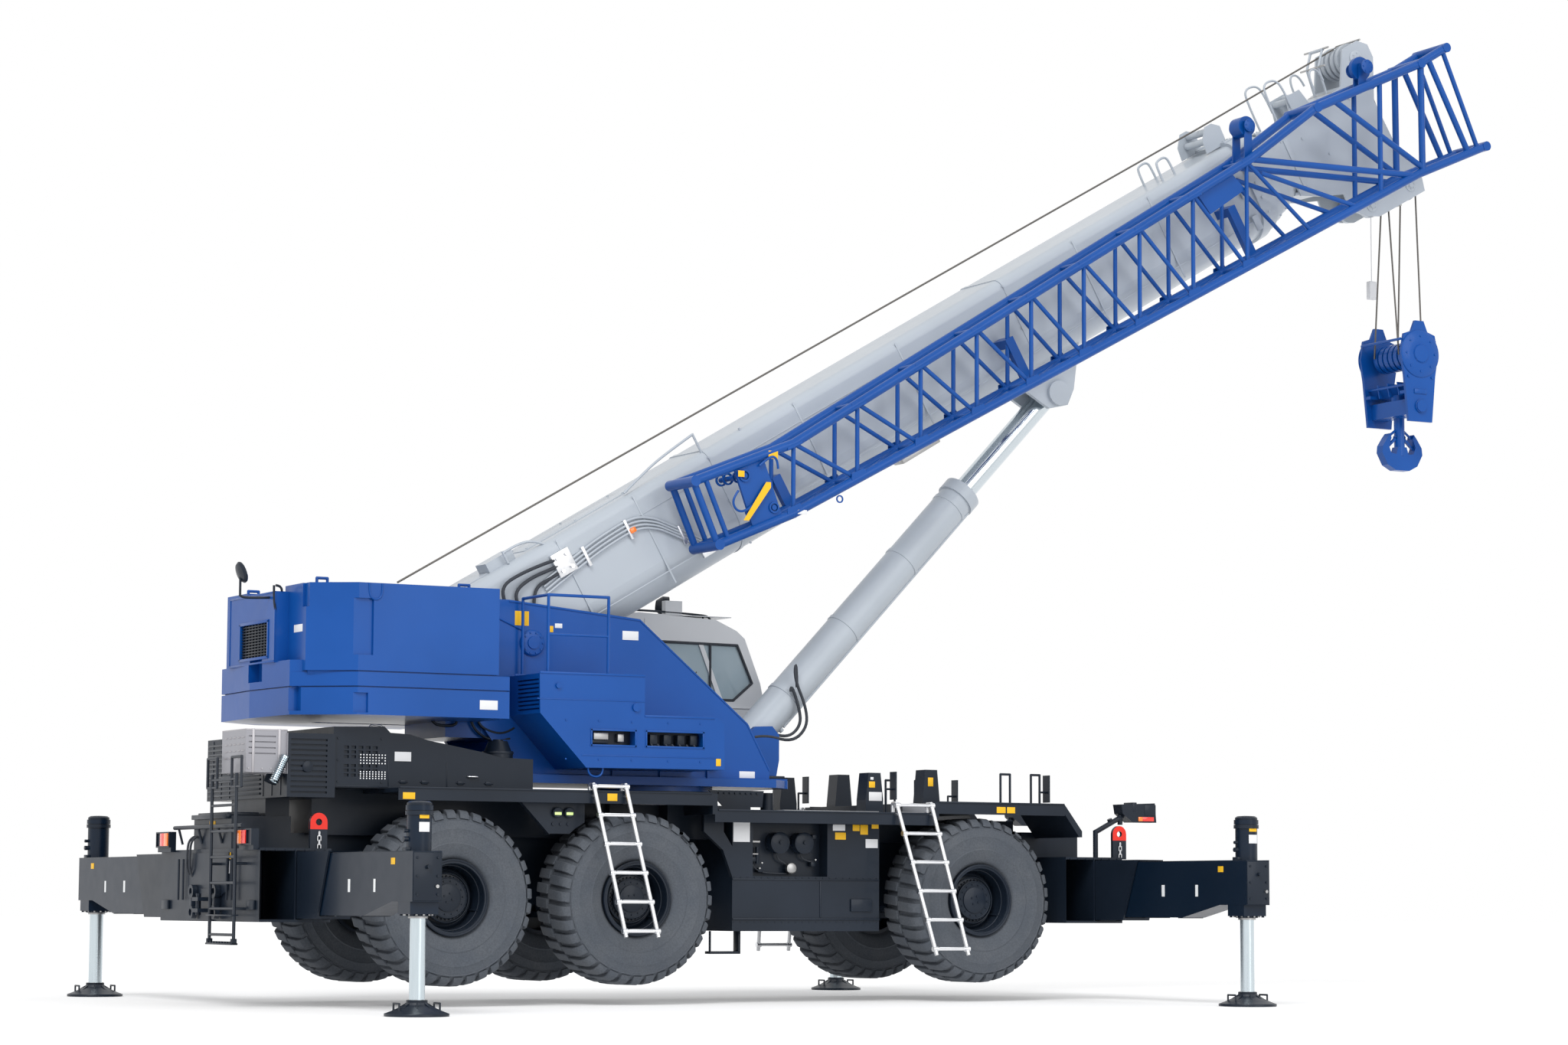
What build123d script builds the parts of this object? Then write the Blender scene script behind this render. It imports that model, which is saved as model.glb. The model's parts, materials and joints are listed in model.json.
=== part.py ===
"""Three-axle rough-terrain crane standing on its outriggers, with a six-part telescopic boom.

Millimetres. X runs forward, Y to the left, Z up, with Z = 0 under the floats. Lengths along X
are stated from the rearmost axle and moved by -X_MID, so that the origin lies under the middle
of the bounding box. Pieces of the boom are stated in its own frame: s along it, y, and t up
from the foot pin.
"""
import math
import os
from build123d import *

os.makedirs("parts", exist_ok=True)

# ---------------------------------------------------------------- driving sizes
X_MID = 6060.0                # middle of the bounding box, from the rear axle
CLEAR = 8.0                   # between pieces that slide or turn past each other
FIT = 0.3                     # around pins, rods and seats

# running gear
AXLE_X = {"rear": 0.0, "middle": 2190.0, "front": 6607.0}
HUB_Z = 1154.0
TYRE_R = 937.5
TYRE_W = 750.0
TREAD_HW = 275.0
LUGS = 20                     # on each shoulder
RIM_R = 406.0
OVERALL_W = 3105.0
TRACK_Y = (OVERALL_W - TYRE_W) / 2
KINGPIN_Y = TRACK_Y - 347.5
KINGPIN_R = 45.0
HUB_BORE_R = 130.0
AXLE_R = 128.0

# carrier
FRAME_HW = 360.0              # half width of the main box
FRAME_Z = (1080.0, 1840.0)
DECK_HW = 1500.0
DECK_T = 45.0
DECKS = {"rear": (-650.0, 3140.0, 2310.0), "middle": (3140.0, 6010.0, 2130.0), "front": (6010.0, 7760.0, 2265.0)}
TANK = (3500.0, 5400.0, 1240.0, 800.0, 2060.0)   # x0, x1, half width, z0, z1
LUG_X = (-1510.0, 8580.0)
LUG_Y = 1400.0
LUG_Z = 1935.0
LUG_HOLE_R = 35.0

# outriggers
BOX_X = {"rear": -1786.0, "front": 8180.0}
BOX_W = 790.0
BEAM_DX = 200.0               # the two beams of a box lie side by side
BEAM_Y = 4190.0               # jack from the centre line
BEAM_W = 310.0
BEAM_Z = (968.0, 1602.0)
BEAM_TIP_Z = 1112.0           # underside beyond the chamfer
BEAM_CHAMFER = (3180.0, 3900.0)
BEAM_END = 4400.0
BEAM_IN = 1150.0
SLEEVE_W = 370.0
SLEEVE_Z = (930.0, 1625.0)
SLEEVE_Y = (560.0, 2330.0)
SLEEVE_RAKE = 290.0
JACK_TUBE_R = 122.0
JACK_ROD_R = 78.0
JACK_TOP = 2060.0
FLOAT_R = 316.0

# superstructure
SLEW_X = 3100.0
RING_R = 710.0
RING_Z = 2200.0               # what the ring stands on
TABLE_Z = (2415.0, 2505.0)
CHEEK_IN = 560.0              # inner face of the boom's cheeks
CHEEK_T = 60.0
CASE_Y = 1400.0               # outer face of the equipment case
FOOT = (1300.0, 3960.0)       # boom foot pin, x and z
FOOT_PIN_R = 75.0
CAB_Y = (640.0, 1550.0)
CAB_Z = 2700.0
CAB_WALL = 45.0
PANE_T = 8.0
DOOR_T = 40.0
TAIL_Z = 3070.0               # underside of the counterweight
HOOD_HW = 1150.0
SWEEP_R = 2240.0              # the table and cheeks turn within this

# boom
BOOM_DEG = 30.2
BOOM_L = 11850.0              # base section, foot pin to collar
BOOM_REAR = 560.0
BOOM_W = 940.0
BOOM_H = 1270.0
BOOM_UP = 235.0               # the section's middle above the foot pin
BOOM_WALL = 14.0
SECTIONS = 5
STEP_W = 84.0
STEP_H = 100.0
STEP_TAIL = 60.0
COLLAR_L = 130.0
COLLAR_GAP = 14.0
HEAD_PIN = (BOOM_L + 2330.0, -800.0)
HEAD_PIN_R = 55.0
SHEAVE_R = 180.0
SHEAVE_PITCH = 100.0
ROPE_R = 11.0

# lift cylinder
CYL_FOOT = (4260.0, 2880.0)
CYL_HEAD = (7910.0, -735.0)   # rod eye, in the frame of the boom
BARREL_L = 4380.0
BARREL_R = 215.0
ROD_R = 138.0
PISTON = (1365.0, 1500.0)     # where the piston lies along the cylinder
EYE_R = 150.0
EYE_HW = 170.0
CYL_PIN_R = 60.0

# hook block
BLOCK_Z = 8180.0              # axis of its sheaves
SHANK_R = 68.0
CROSSHEAD_Z = 7500.0

# stowed jib
JIB_Y = (-1240.0, -720.0)
CHORD_R = 55.0
LACE_R = 26.0


# ---------------------------------------------------------------- helpers
def block(x, y, z):
    """A box over three ranges, X from the rear axle."""
    size = Box(abs(x[1] - x[0]), abs(y[1] - y[0]), abs(z[1] - z[0]))
    return Pos((x[0] + x[1]) / 2 - X_MID, (y[0] + y[1]) / 2, (z[0] + z[1]) / 2) * size


def side_plate(pts, y0, y1):
    """A profile in X and Z, thick along Y."""
    wire = Polyline(*[(x - X_MID, y0, z) for x, z in pts], close=True)
    return extrude(make_face(wire), amount=y1 - y0, dir=(0, 1, 0))


def flat_plate(pts, z0, z1):
    """A profile in X and Y, thick along Z."""
    wire = Polyline(*[(x - X_MID, y, z0) for x, y in pts], close=True)
    return extrude(make_face(wire), amount=z1 - z0, dir=(0, 0, 1))


def cross_plate(pts, x0, x1):
    """A profile in Y and Z, thick along X."""
    wire = Polyline(*[(x0 - X_MID, y, z) for y, z in pts], close=True)
    return extrude(make_face(wire), amount=x1 - x0, dir=(1, 0, 0))


def rod(a, b, r):
    """A round bar between two points."""
    p = Vector(a[0] - X_MID, a[1], a[2])
    d = Vector(b[0] - X_MID, b[1], b[2]) - p
    return Part(Solid.make_cylinder(r, d.length, Plane(origin=p, z_dir=d)).wrapped)


def across(x, z, hw, r):
    """A round bar along Y, centred on the middle plane."""
    return rod((x, -hw, z), (x, hw, z), r)


def bent(points, r):
    """A bent bar, with a ball in each bend."""
    bars = [rod(a, b, r) for a, b in zip(points, points[1:])]
    balls = [Pos(p[0] - X_MID, p[1], p[2]) * Sphere(r) for p in points[1:-1]]
    return joined(bars + balls)


def joined(shapes):
    """All the solids of a list, fused."""
    out = shapes[0]
    for shape in shapes[1:]:
        out = out + shape
    return out


def both(shape):
    """A shape and its mirror image across the middle plane."""
    return shape + shape.mirror(Plane.XZ)


def turned(points, axis=Axis.Z):
    """A solid of revolution from (radius, height) points."""
    if axis == Axis.Z:
        wire = Polyline(*[(r, 0, h) for r, h in points], close=True)
    else:
        wire = Polyline(*[(r, h, 0) for r, h in points], close=True)
    return revolve(make_face(wire), axis)


def save(shape, name):
    solids = shape.solids()
    body = solids[0] if len(solids) == 1 else Compound(children=list(solids))
    body.label = name
    export_step(body, f"parts/{name}.step")


BOOM = Pos(FOOT[0] - X_MID, 0, FOOT[1]) * Rot(0, -BOOM_DEG, 0)
COS = math.cos(math.radians(BOOM_DEG))
SIN = math.sin(math.radians(BOOM_DEG))


def on_boom(x, z):
    """(s, t) in the boom's frame of a point in X and Z."""
    dx = x - FOOT[0]
    dz = z - FOOT[1]
    return dx * COS + dz * SIN, dz * COS - dx * SIN


def off_boom(s, t):
    """(x, z) of a point in the boom's frame."""
    return FOOT[0] + s * COS - t * SIN, FOOT[1] + s * SIN + t * COS


def boom_block(s, y, t):
    size = Box(abs(s[1] - s[0]), abs(y[1] - y[0]), abs(t[1] - t[0]))
    return BOOM * Pos((s[0] + s[1]) / 2, (y[0] + y[1]) / 2, (t[0] + t[1]) / 2) * size


def boom_plate(pts, y0, y1):
    wire = Polyline(*[(s, y0, t) for s, t in pts], close=True)
    return BOOM * extrude(make_face(wire), amount=y1 - y0, dir=(0, 1, 0))


def boom_rod(a, b, r):
    d = Vector(*b) - Vector(*a)
    return BOOM * Part(Solid.make_cylinder(r, d.length, Plane(origin=a, z_dir=d)).wrapped)


def boom_across(s, t, hw, r):
    return boom_rod((s, -hw, t), (s, hw, t), r)


def boom_face(s, w, h):
    """The section of one telescoping tube: flat top with round corners, and a round bottom."""
    hw = w / 2
    top = BOOM_UP + h / 2
    low = BOOM_UP - h / 2
    r = 0.13 * w
    belly = low + 0.31 * w + 0.10 * h
    side = hw * 0.985
    in_corner = 0.29 * r
    edges = [
        Line((s, -hw + r, top), (s, hw - r, top)),
        ThreePointArc((s, hw - r, top), (s, hw - in_corner, top - in_corner), (s, hw, top - r)),
        Line((s, hw, top - r), (s, side, belly)),
        ThreePointArc((s, side, belly), (s, 0, low), (s, -side, belly)),
        Line((s, -side, belly), (s, -hw, top - r)),
        ThreePointArc((s, -hw, top - r), (s, -hw + in_corner, top - in_corner), (s, -hw + r, top)),
    ]
    return make_face(Wire(edges))


def boom_bar(s0, s1, w, h):
    return BOOM * extrude(boom_face(s0, w, h), amount=s1 - s0, dir=(1, 0, 0))


def boom_tube(s0, s1, w, h, wall):
    return boom_bar(s0, s1, w, h) - boom_bar(s0 - 5, s1 + 5, w - 2 * wall, h - 2 * wall)


# ---------------------------------------------------------------- carrier
def housings():
    """The two outrigger boxes, one across each end."""
    made = []
    for x in BOX_X.values():
        hw = DECK_HW - 20
        made.append(block((x - BOX_W / 2, x + BOX_W / 2), (-hw, hw), (SLEEVE_Z[0] - 35, SLEEVE_Z[1] + 35)))
    made.append(block((-2150, -1480), (-560, 560), (SLEEVE_Z[1] + 20, 2010)))
    made.append(block((7760, 8560), (-560, 560), (SLEEVE_Z[1] + 20, 1960)))
    return made


def tunnels():
    """What the sleeves and their wear pads need inside the boxes."""
    made = []
    gap = SLEEVE_W / 2 + CLEAR
    for x in BOX_X.values():
        for side in (-1, 1):
            cx = x - side * BEAM_DX
            z = (SLEEVE_Z[0] - CLEAR, SLEEVE_Z[1] + CLEAR)
            made.append(block((cx - gap, cx + gap), (-DECK_HW, DECK_HW), z))
    return made


def wear_pads():
    made = []
    for x in BOX_X.values():
        for side in (-1, 1):
            cx = x - side * BEAM_DX
            z = (SLEEVE_Z[0] - CLEAR - 2, SLEEVE_Z[0] - FIT)
            made.append(block((cx - 110, cx + 110), (side * 1360, side * 1475), z))
    return made


def deck_plates():
    made = []
    for x0, x1, z in DECKS.values():
        made.append(block((x0, x1), (-DECK_HW, DECK_HW), (z - DECK_T, z)))
        edge = block((x0, x1), (DECK_HW - 12, DECK_HW), (z - 130, z))
        made.append(both(edge))
    for here, nxt in (("rear", "middle"), ("middle", "front")):
        x = DECKS[here][1]
        low, high = sorted((DECKS[here][2], DECKS[nxt][2]))
        made.append(block((x - 30, x + 30), (-DECK_HW, DECK_HW), (low - DECK_T, high)))
    nose = [(7740, 2265), (7760, 2265), (8000, 1960), (8000, 1890), (7960, 1890), (7740, 2180)]
    made.append(both(side_plate(nose, 560, DECK_HW)))
    return made


def recess():
    """The open locker in the right side, with its gauges on the back wall."""
    hole = block((3760, 4720), (-1300, -1060), (1410, 2025))
    return hole


def gauges():
    made = []
    for x in (4130, 4440):
        shell = Pos(x - X_MID, -1060, 1785) * Rot(90, 0, 0) * Cylinder(120, 60)
        made.append(shell + Pos(x - X_MID, -1090, 1785) * Sphere(118))
    made.append(rod((4300, -1050, 1500), (4300, -1150, 1500), 58))
    return made


def lamp_brackets():
    """Shelves between the two rear wheels, one on each side."""
    front = [(1190, 2290), (1620, 2290), (1620, 1975), (1500, 1905), (1440, 1850), (1200, 1850)]
    box = side_plate(front, 1180, 1330)
    gusset = side_plate([(760, 2290), (1200, 2290), (1200, 1840)], 1250, 1330)
    return [both(box + gusset)]


def lashing_lugs():
    made = []
    for x in LUG_X:
        for side in (-1, 1):
            y = side * LUG_Y
            base = side_plate([(x - 95, 1640), (x + 95, 1640), (x + 95, LUG_Z), (x - 95, LUG_Z)], y - 20, y + 20)
            eye = rod((x, y - 20, LUG_Z), (x, y + 20, LUG_Z), 95)
            hole = rod((x, y - 60, LUG_Z), (x, y + 60, LUG_Z), LUG_HOLE_R)
            made.append(base + eye - hole)
    return made


def tow_pintle():
    """Jaw and pin in the middle of the rear box."""
    x = BOX_X["rear"] - BOX_W / 2
    plate = block((x - 30, x + 5), (-170, 170), (900, 1240))
    jaw = block((x - 154, x - 20), (-90, 90), (1110, 1150)) + block((x - 154, x - 20), (-90, 90), (990, 1030))
    pin = rod((x - 112, 0, 960), (x - 112, 0, 1190), 27)
    return [plate + jaw + pin]


def build_chassis():
    x0, x1, hw, z0, z1 = TANK
    steel = [
        block((-1500, 8500), (-FRAME_HW, FRAME_HW), FRAME_Z),
        block((x0, x1), (-hw, hw), (z0, z1)) - recess(),
        side_plate([(3140, 2290), (3390, 2130), (3390, 1900), (3660, 1500), (3660, 1400), (3500, 1400), (3380, 1700),
                    (3140, 1900)], -hw, -hw + 60),
        block((-1240, 2300), (-540, 540), (FRAME_Z[1] - 20, DECKS["rear"][2])),
        block((2280, 3960), (-620, 620), (FRAME_Z[1] - 20, RING_Z)),
        block((2900, 3960), (-820, 820), (FRAME_Z[1] - 20, RING_Z)),
        block((3900, 7720), (-450, 450), (FRAME_Z[1] - 20, 2090)),
        rod((4290, -600, 2090), (4290, -600, 2360), 75),
    ]
    steel += housings() + deck_plates() + lamp_brackets() + lashing_lugs() + tow_pintle() + gauges()
    chassis = joined(steel)
    for hole in tunnels():
        chassis = chassis - hole
    chassis = joined([chassis] + wear_pads())
    well = rod((SLEW_X, 0, RING_Z), (SLEW_X, 0, RING_Z + 200), RING_R + CLEAR)
    return chassis - well


def build_hood():
    """Engine under its hood, with the radiator box and silencer behind it."""
    deck = DECKS["rear"][2]
    top = [(-1250, deck), (1080, deck), (1080, 2655), (700, 2665), (470, 2720), (-160, 2830), (-380, 2890),
           (-600, 2900), (-670, 2965), (-1250, 2950)]
    hood = side_plate(top, -HOOD_HW, HOOD_HW)
    hood = hood - rod((SLEW_X, 0, 2400), (SLEW_X, 0, 3100), SWEEP_R)
    y = -HOOD_HW
    grille = [block((x, x + 55), (y - 10, y + 20), (z, z + 32))
              for x in range(-1130, -760, 82) for z in (2425, 2475, 2525, 2620, 2670, 2720)]
    radiator = block((-1780, -1240), (-1180, 1180), (2200, 2870)) + block((-1750, -1480), (-500, 500), (2010, 2210))
    slots = [block((-1740, -1330), (-1190, -1160), (z, z + 22)) for z in range(2240, 2840, 55)]
    silencer = block((-2230, -1770), (y, -450), (2450, 2900))
    vents = [block((-2200, -1900), (y - 10, y + 15), (z, z + 14)) for z in (2640, 2700, 2760, 2820)]
    stub = rod((-1900, -1000, 2350), (-1790, -1000, 2600), 70)
    dome = turned([(0, 2650), (165, 2650), (165, 2720), (150, 2735), (105, 2850), (0, 2852)])
    dome = Pos(740 - X_MID, -970, 0) * dome
    return (hood - grille) + (radiator - slots) + (silencer - vents) + stub + dome


def build_ladders():
    """Two ladders on each side that lean out past the tyres, and one at the rear."""
    made = []
    # the two stiles' x at the top and at the foot, z at the top and at the foot, the foot's y, and the deck
    rows = (((1630, 2020), (1800, 2190), 2380, 740, 2000, "rear"),
            ((5460, 5920), (5660, 6080), 2240, 540, 2070, "middle"))
    for top_x, foot_x, z1, z0, y0, deck in rows:
        y1 = DECK_HW + 26
        stiles = [rod((a, y1, z1), (b, y0, z0), 24) for a, b in zip(top_x, foot_x)]
        hooks = [rod((a, y1 + 5, z1), (a, DECK_HW - 60, z1), 24) for a in top_x]
        props = [rod((a, DECK_HW - 60, z1), (a, DECK_HW - 60, DECKS[deck][2]), 24) for a in top_x]
        rungs = []
        for f in (0.01, 0.2, 0.39, 0.58, 0.77, 0.96):
            y = y1 + (y0 - y1) * f
            z = z1 + (z0 - z1) * f
            ends = [a + (b - a) * f for a, b in zip(top_x, foot_x)]
            rungs.append(rod((ends[0], y, z), (ends[1], y, z), 18))
        made.append(both(joined(stiles + hooks + props + rungs)))
    x = -2305
    stiles = [rod((x, y, 700), (x, y, 2440), 18) for y in (-380, -1090)]
    rungs = [rod((x, -380, z), (x, -1090, z), 15) for z in range(760, 2400, 270)]
    loops = [bent([(x, a, 2300), (x, a, 2610), (x, b, 2610), (x, b, 2300), (x, a, 2300)], 15)
             for a, b in ((-240, -520), (-950, -1230))]
    stays = [rod((x, y, z), (BOX_X["rear"] - BOX_W / 2, y, z), 15) for y in (-380, -1090) for z in (1030, 1500)]
    made.append(joined(stiles + rungs + loops + stays))
    return Compound(children=[s for m in made for s in m.solids()])


def build_rails():
    """Hand loops, bollards and mirrors that stand on the decks."""
    made = []
    front = DECKS["front"][2]
    middle = DECKS["middle"][2]
    for x0, x1 in ((7000, 7130), (7420, 7540)):
        made.append(bent([(x0, -1300, front), (x0, -1300, 2610), (x1, -1300, 2610), (x1, -1300, front)], 14))
    for x, deck, top in ((5300, middle, 2600), (6060, front, 2650)):
        made.append(side_plate([(x, deck), (x + 230, deck), (x + 230, 2290), (x + 195, top), (x + 35, top),
                                (x, 2290)], -1110, -900))
    for x, deck in ((5620, middle), (7720, front)):
        arm = bent([(x, -1020, deck), (x, -1020, 2420), (x + 100, -1020, 2420)], 12)
        made.append(arm + block((x + 90, x + 108), (-1085, -955), (2300, 2620)))
    return Compound(children=[s for m in made for s in both(m).solids()])


def build_lamps():
    """Lamps at the tail, on the shelves between the wheels, and on arms at the front."""
    made = []
    tail_x = BOX_X["rear"] - BOX_W / 2
    tail = block((tail_x - 85, tail_x), (-1440, -1030), (1690, 1860))
    tail = tail - block((tail_x - 90, tail_x - 70), (-1425, -1300), (1705, 1845))
    tail = tail + block((tail_x - 60, tail_x), (-1440, -1030), (1640, 1700))
    made.append(tail)
    for x in (1280, 1420):
        made.append(rod((x, -1330, 2080), (x, -1372, 2080), 52))
    arm = rod((8390, -1200, 1960), (8870, -1200, 2200), 30) + rod((8390, -1200, 1660), (8390, -1200, 1980), 30)
    head = side_plate([(8700, 2290), (9180, 2310), (9200, 2080), (8860, 2080), (8720, 2180)], -1290, -1110)
    made.append(arm + head)
    return Compound(children=[s for m in made for s in both(m).solids()])


# ---------------------------------------------------------------- running gear
def build_axles():
    """The three axle tubes with their drums and the kingpins at their ends."""
    made = []
    for x in AXLE_X.values():
        made.append(across(x, HUB_Z, KINGPIN_Y, AXLE_R))
        made.append(across(x, HUB_Z, 190, 262))
        made.append(across(x, HUB_Z, 260, 190))
        for side in (-1, 1):
            y = side * KINGPIN_Y
            made.append(rod((x, y, HUB_Z - 138), (x, y, HUB_Z + 138), 115))
            made.append(rod((x, y, HUB_Z - 215), (x, y, HUB_Z + 215), KINGPIN_R))
    axles = joined(made)
    return axles - block((-500, 7200), (-FRAME_HW, FRAME_HW), (FRAME_Z[0], 2000))


def ring(r, y):
    """A flat polygon about the Y axis."""
    points = []
    for i in range(LUGS):
        a = 2 * math.pi * i / LUGS
        points.append((r * math.cos(a), y, r * math.sin(a)))
    return make_face(Polyline(*points, close=True))


def tyre_solid():
    """One tyre about the Y axis, with the gaps between its shoulder lugs."""
    half = [(440, TYRE_W / 2 - 100), (660, TYRE_W / 2), (870, TYRE_W / 2 - 25), (TYRE_R, TREAD_HW)]
    rows = [(r, -y) for r, y in half] + [(r, y) for r, y in reversed(half)]
    body = loft([ring(r, y) for r, y in rows], ruled=True)
    flat = math.cos(math.pi / LUGS)
    bore = extrude(ring((RIM_R + FIT) / flat, -TYRE_W), amount=2 * TYRE_W, dir=(0, 1, 0))
    gaps = []
    for i in range(LUGS):
        for side in (-1, 1):
            gap = Pos(TYRE_R - 10, side * (TREAD_HW + 20), 0) * Box(90, 150, 95)
            gaps.append(Rot(0, 360 / LUGS * (i + 0.5), 0) * gap)
    return body - bore - gaps


def rim_solid():
    """Dished rim with the hub reduction, its outer face at -Y."""
    prof = [(RIM_R, -315), (RIM_R, 270), (366, 270), (340, 40), (HUB_BORE_R, 40), (HUB_BORE_R, -120), (215, -120),
            (215, 0), (330, 0), (366, -315)]
    return turned(prof, Axis.Y) + Rot(90, 0, 0) * Pos(0, 0, 105) * Cylinder(205, 130)


def knuckle(x, side):
    """Fork around a kingpin, with the spindle of the wheel."""
    inner = side * (KINGPIN_Y - 110)
    outer = side * (KINGPIN_Y + 200)
    spindle = rod((x, side * (KINGPIN_Y + 140), HUB_Z), (x, side * (TRACK_Y + 25), HUB_Z), HUB_BORE_R - FIT)
    fork = [
        block((x - 130, x + 130), (inner, outer), (HUB_Z + 148, HUB_Z + 215)),
        block((x - 130, x + 130), (inner, outer), (HUB_Z - 215, HUB_Z - 148)),
        block((x - 130, x + 130), (side * (KINGPIN_Y + 130), outer), (HUB_Z - 215, HUB_Z + 215)),
    ]
    y = side * KINGPIN_Y
    bore = rod((x, y, HUB_Z - 220), (x, y, HUB_Z + 220), KINGPIN_R + FIT)
    return joined(fork + [spindle]) - bore


# ---------------------------------------------------------------- outriggers
def sleeve(cx, s):
    x = (cx - SLEEVE_W / 2, cx + SLEEVE_W / 2)
    y0, y1 = SLEEVE_Y
    z0, z1 = SLEEVE_Z
    body = cross_plate([(s * -y0, z0), (s * (y1 - SLEEVE_RAKE), z0), (s * y1, z1), (s * -y0, z1)], *x)
    gap = BEAM_W / 2 + CLEAR
    body = body - block((cx - gap, cx + gap), (s * (-y0 - 40), s * (y1 + 50)), (BEAM_Z[0] - CLEAR, BEAM_Z[1] + CLEAR))
    pad_low = block((cx - 100, cx + 100), (s * 1900, s * 2020), (BEAM_Z[0] - CLEAR - 2, BEAM_Z[0] - FIT))
    pad_top = block((cx - 100, cx + 100), (s * (5 - y0), s * (120 - y0)), (z1 - 2, z1 + CLEAR - FIT))
    return body + pad_low + pad_top


def beam(cx, s):
    """Beam with the tube of its jack and a bolted collar."""
    a, b = BEAM_CHAMFER
    z0, z1 = BEAM_Z
    body = cross_plate([(s * BEAM_IN, z0), (s * a, z0), (s * b, BEAM_TIP_Z), (s * BEAM_END, BEAM_TIP_Z),
                        (s * BEAM_END, z1), (s * BEAM_IN, z1)], cx - BEAM_W / 2, cx + BEAM_W / 2)
    pad = block((cx - 100, cx + 100), (s * (BEAM_IN + 5), s * (BEAM_IN + 120)), (z1 - 2, z1 + CLEAR - FIT))
    y = s * BEAM_Y
    tube = rod((cx, y, 970), (cx, y, JACK_TOP), JACK_TUBE_R)
    cap = rod((cx, y, JACK_TOP - 60), (cx, y, JACK_TOP - 10), JACK_TUBE_R + 14)
    collar = block((cx - 150, cx + 150), (y - 150, y + 150), (990, BEAM_TIP_Z))
    bolts = [rod((cx + i * 125, y + j * 125, 975), (cx + i * 125, y + j * 125, 995), 16)
             for i in (-1, 1) for j in (-1, 1)]
    bore = rod((cx, y, 900), (cx, y, JACK_TOP - 40), JACK_ROD_R + FIT)
    return joined([body, pad, tube, cap, collar] + bolts) - bore


def jack(cx, s):
    """Rod of a jack with its float and two handles."""
    y = s * BEAM_Y
    shaft = rod((cx, y, 150), (cx, y, 1350), JACK_ROD_R)
    foot = turned([(0, 0), (FLOAT_R, 0), (FLOAT_R, 28), (FLOAT_R - 60, 50), (120, 110), (95, 150), (0, 150)])
    out = shaft + Pos(cx - X_MID, y, 0) * foot
    for side in (-1, 1):
        x = cx + side * 215
        out = out + bent([(x, y - 70, 60), (x, y - 70, 125), (x, y + 70, 125), (x, y + 70, 60)], 10)
    return out


# ---------------------------------------------------------------- superstructure
CHEEK = [(1120, 2490), (4310, 2490), (4310, 2630), (4020, 3150), (2640, 4280), (1020, 4430), (660, 4430), (660, 3100)]
CASE = [(1030, 3580), (2310, 3600), (2310, 3140), (3180, 3160), (3300, 3100), (3310, 2580), (1600, 2570), (1040, 3150)]
EAR = [(3950, 2490), (4560, 2490), (4610, 2750), (4610, 3040), (4520, 3140), (4300, 3130), (4050, 2900)]


def build_turntable():
    cheek_out = CHEEK_IN + CHEEK_T
    made = [
        rod((SLEW_X, 0, RING_Z + FIT), (SLEW_X, 0, TABLE_Z[0] + 4), RING_R),
        flat_plate([(1150, -800), (4300, -800), (4620, -500), (4620, 500), (4300, 800), (1150, 800)], *TABLE_Z),
        both(side_plate(CHEEK, CHEEK_IN, cheek_out)),
        both(side_plate(EAR, 240, 310)),
        both(rod((FOOT[0], CHEEK_IN, FOOT[1]), (FOOT[0], cheek_out + 20, FOOT[1]), FOOT_PIN_R + 70)),
    ]
    # case on the right, with two hatches and a louvre
    case = side_plate(CASE, -CASE_Y, 2 - cheek_out)
    for x0, x1 in ((1660, 2200), (2330, 3040)):
        case = case - block((x0, x1), (-CASE_Y - 10, -CASE_Y + 150), (2815, 2985))
    louvre = [block((1000, 1075), (-1370, -830), (z, z + 18)) for z in range(3190, 3540, 45)]
    made.append(case - louvre)
    # hand rails on the case
    y = -CASE_Y + 50
    made.append(bent([(1150, y, 3560), (1150, y, 4440), (1880, y, 4440), (1880, y, 3580)], 17))
    made.append(rod((1150, y, 4010), (1880, y, 4010), 14))
    made.append(bent([(1150, y, 4440), (1150, -700, 4440), (1150, -700, 3560)], 17))
    # carrier of the counterweight
    made.append(block((-800, 620), (-500, 500), (TAIL_Z + 5, TAIL_Z + 80)))
    made.append(block((300, 1200), (-CHEEK_IN + 6, CHEEK_IN - 6), (2900, TAIL_Z + 80)))
    made.append(block((720, 1200), (-CHEEK_IN - 2, CHEEK_IN + 2), (2900, TAIL_Z + 80)))
    made.append(both(block((-600, 600), (500, 560), (TAIL_Z + 5, 4250))))
    # outrigger of the cab, under its floor
    made.append(block((3250, 4500), (CHEEK_IN + 40, 1450), (CAB_Z - 90, CAB_Z)))
    made.append(block((3300, 4300), (CHEEK_IN + 40, CAB_Y[0]), (CAB_Z - 90, 3200)))
    # lip and lamp post at the front of the table
    made.append(block((4300, 4580), (-560, -450), (TABLE_Z[0], TABLE_Z[1] + 20)))
    table = joined(made)
    table = table - across(FOOT[0], FOOT[1], 720, FOOT_PIN_R + FIT)
    table = table - across(CYL_FOOT[0], CYL_FOOT[1], 340, CYL_PIN_R + FIT)
    return table - side_plate([(2700, 2750), (2950, 2750), (2950, 2950)], -cheek_out - 1, -CHEEK_IN + 1)


def build_winch():
    drum = across(-350, 3960, 430, 300)
    for y in (-430, 400):
        drum = drum + rod((-350, y, 3960), (-350, y + 30, 3960), 420)
    return drum + across(-350, 3960, 500, 60)


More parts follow.
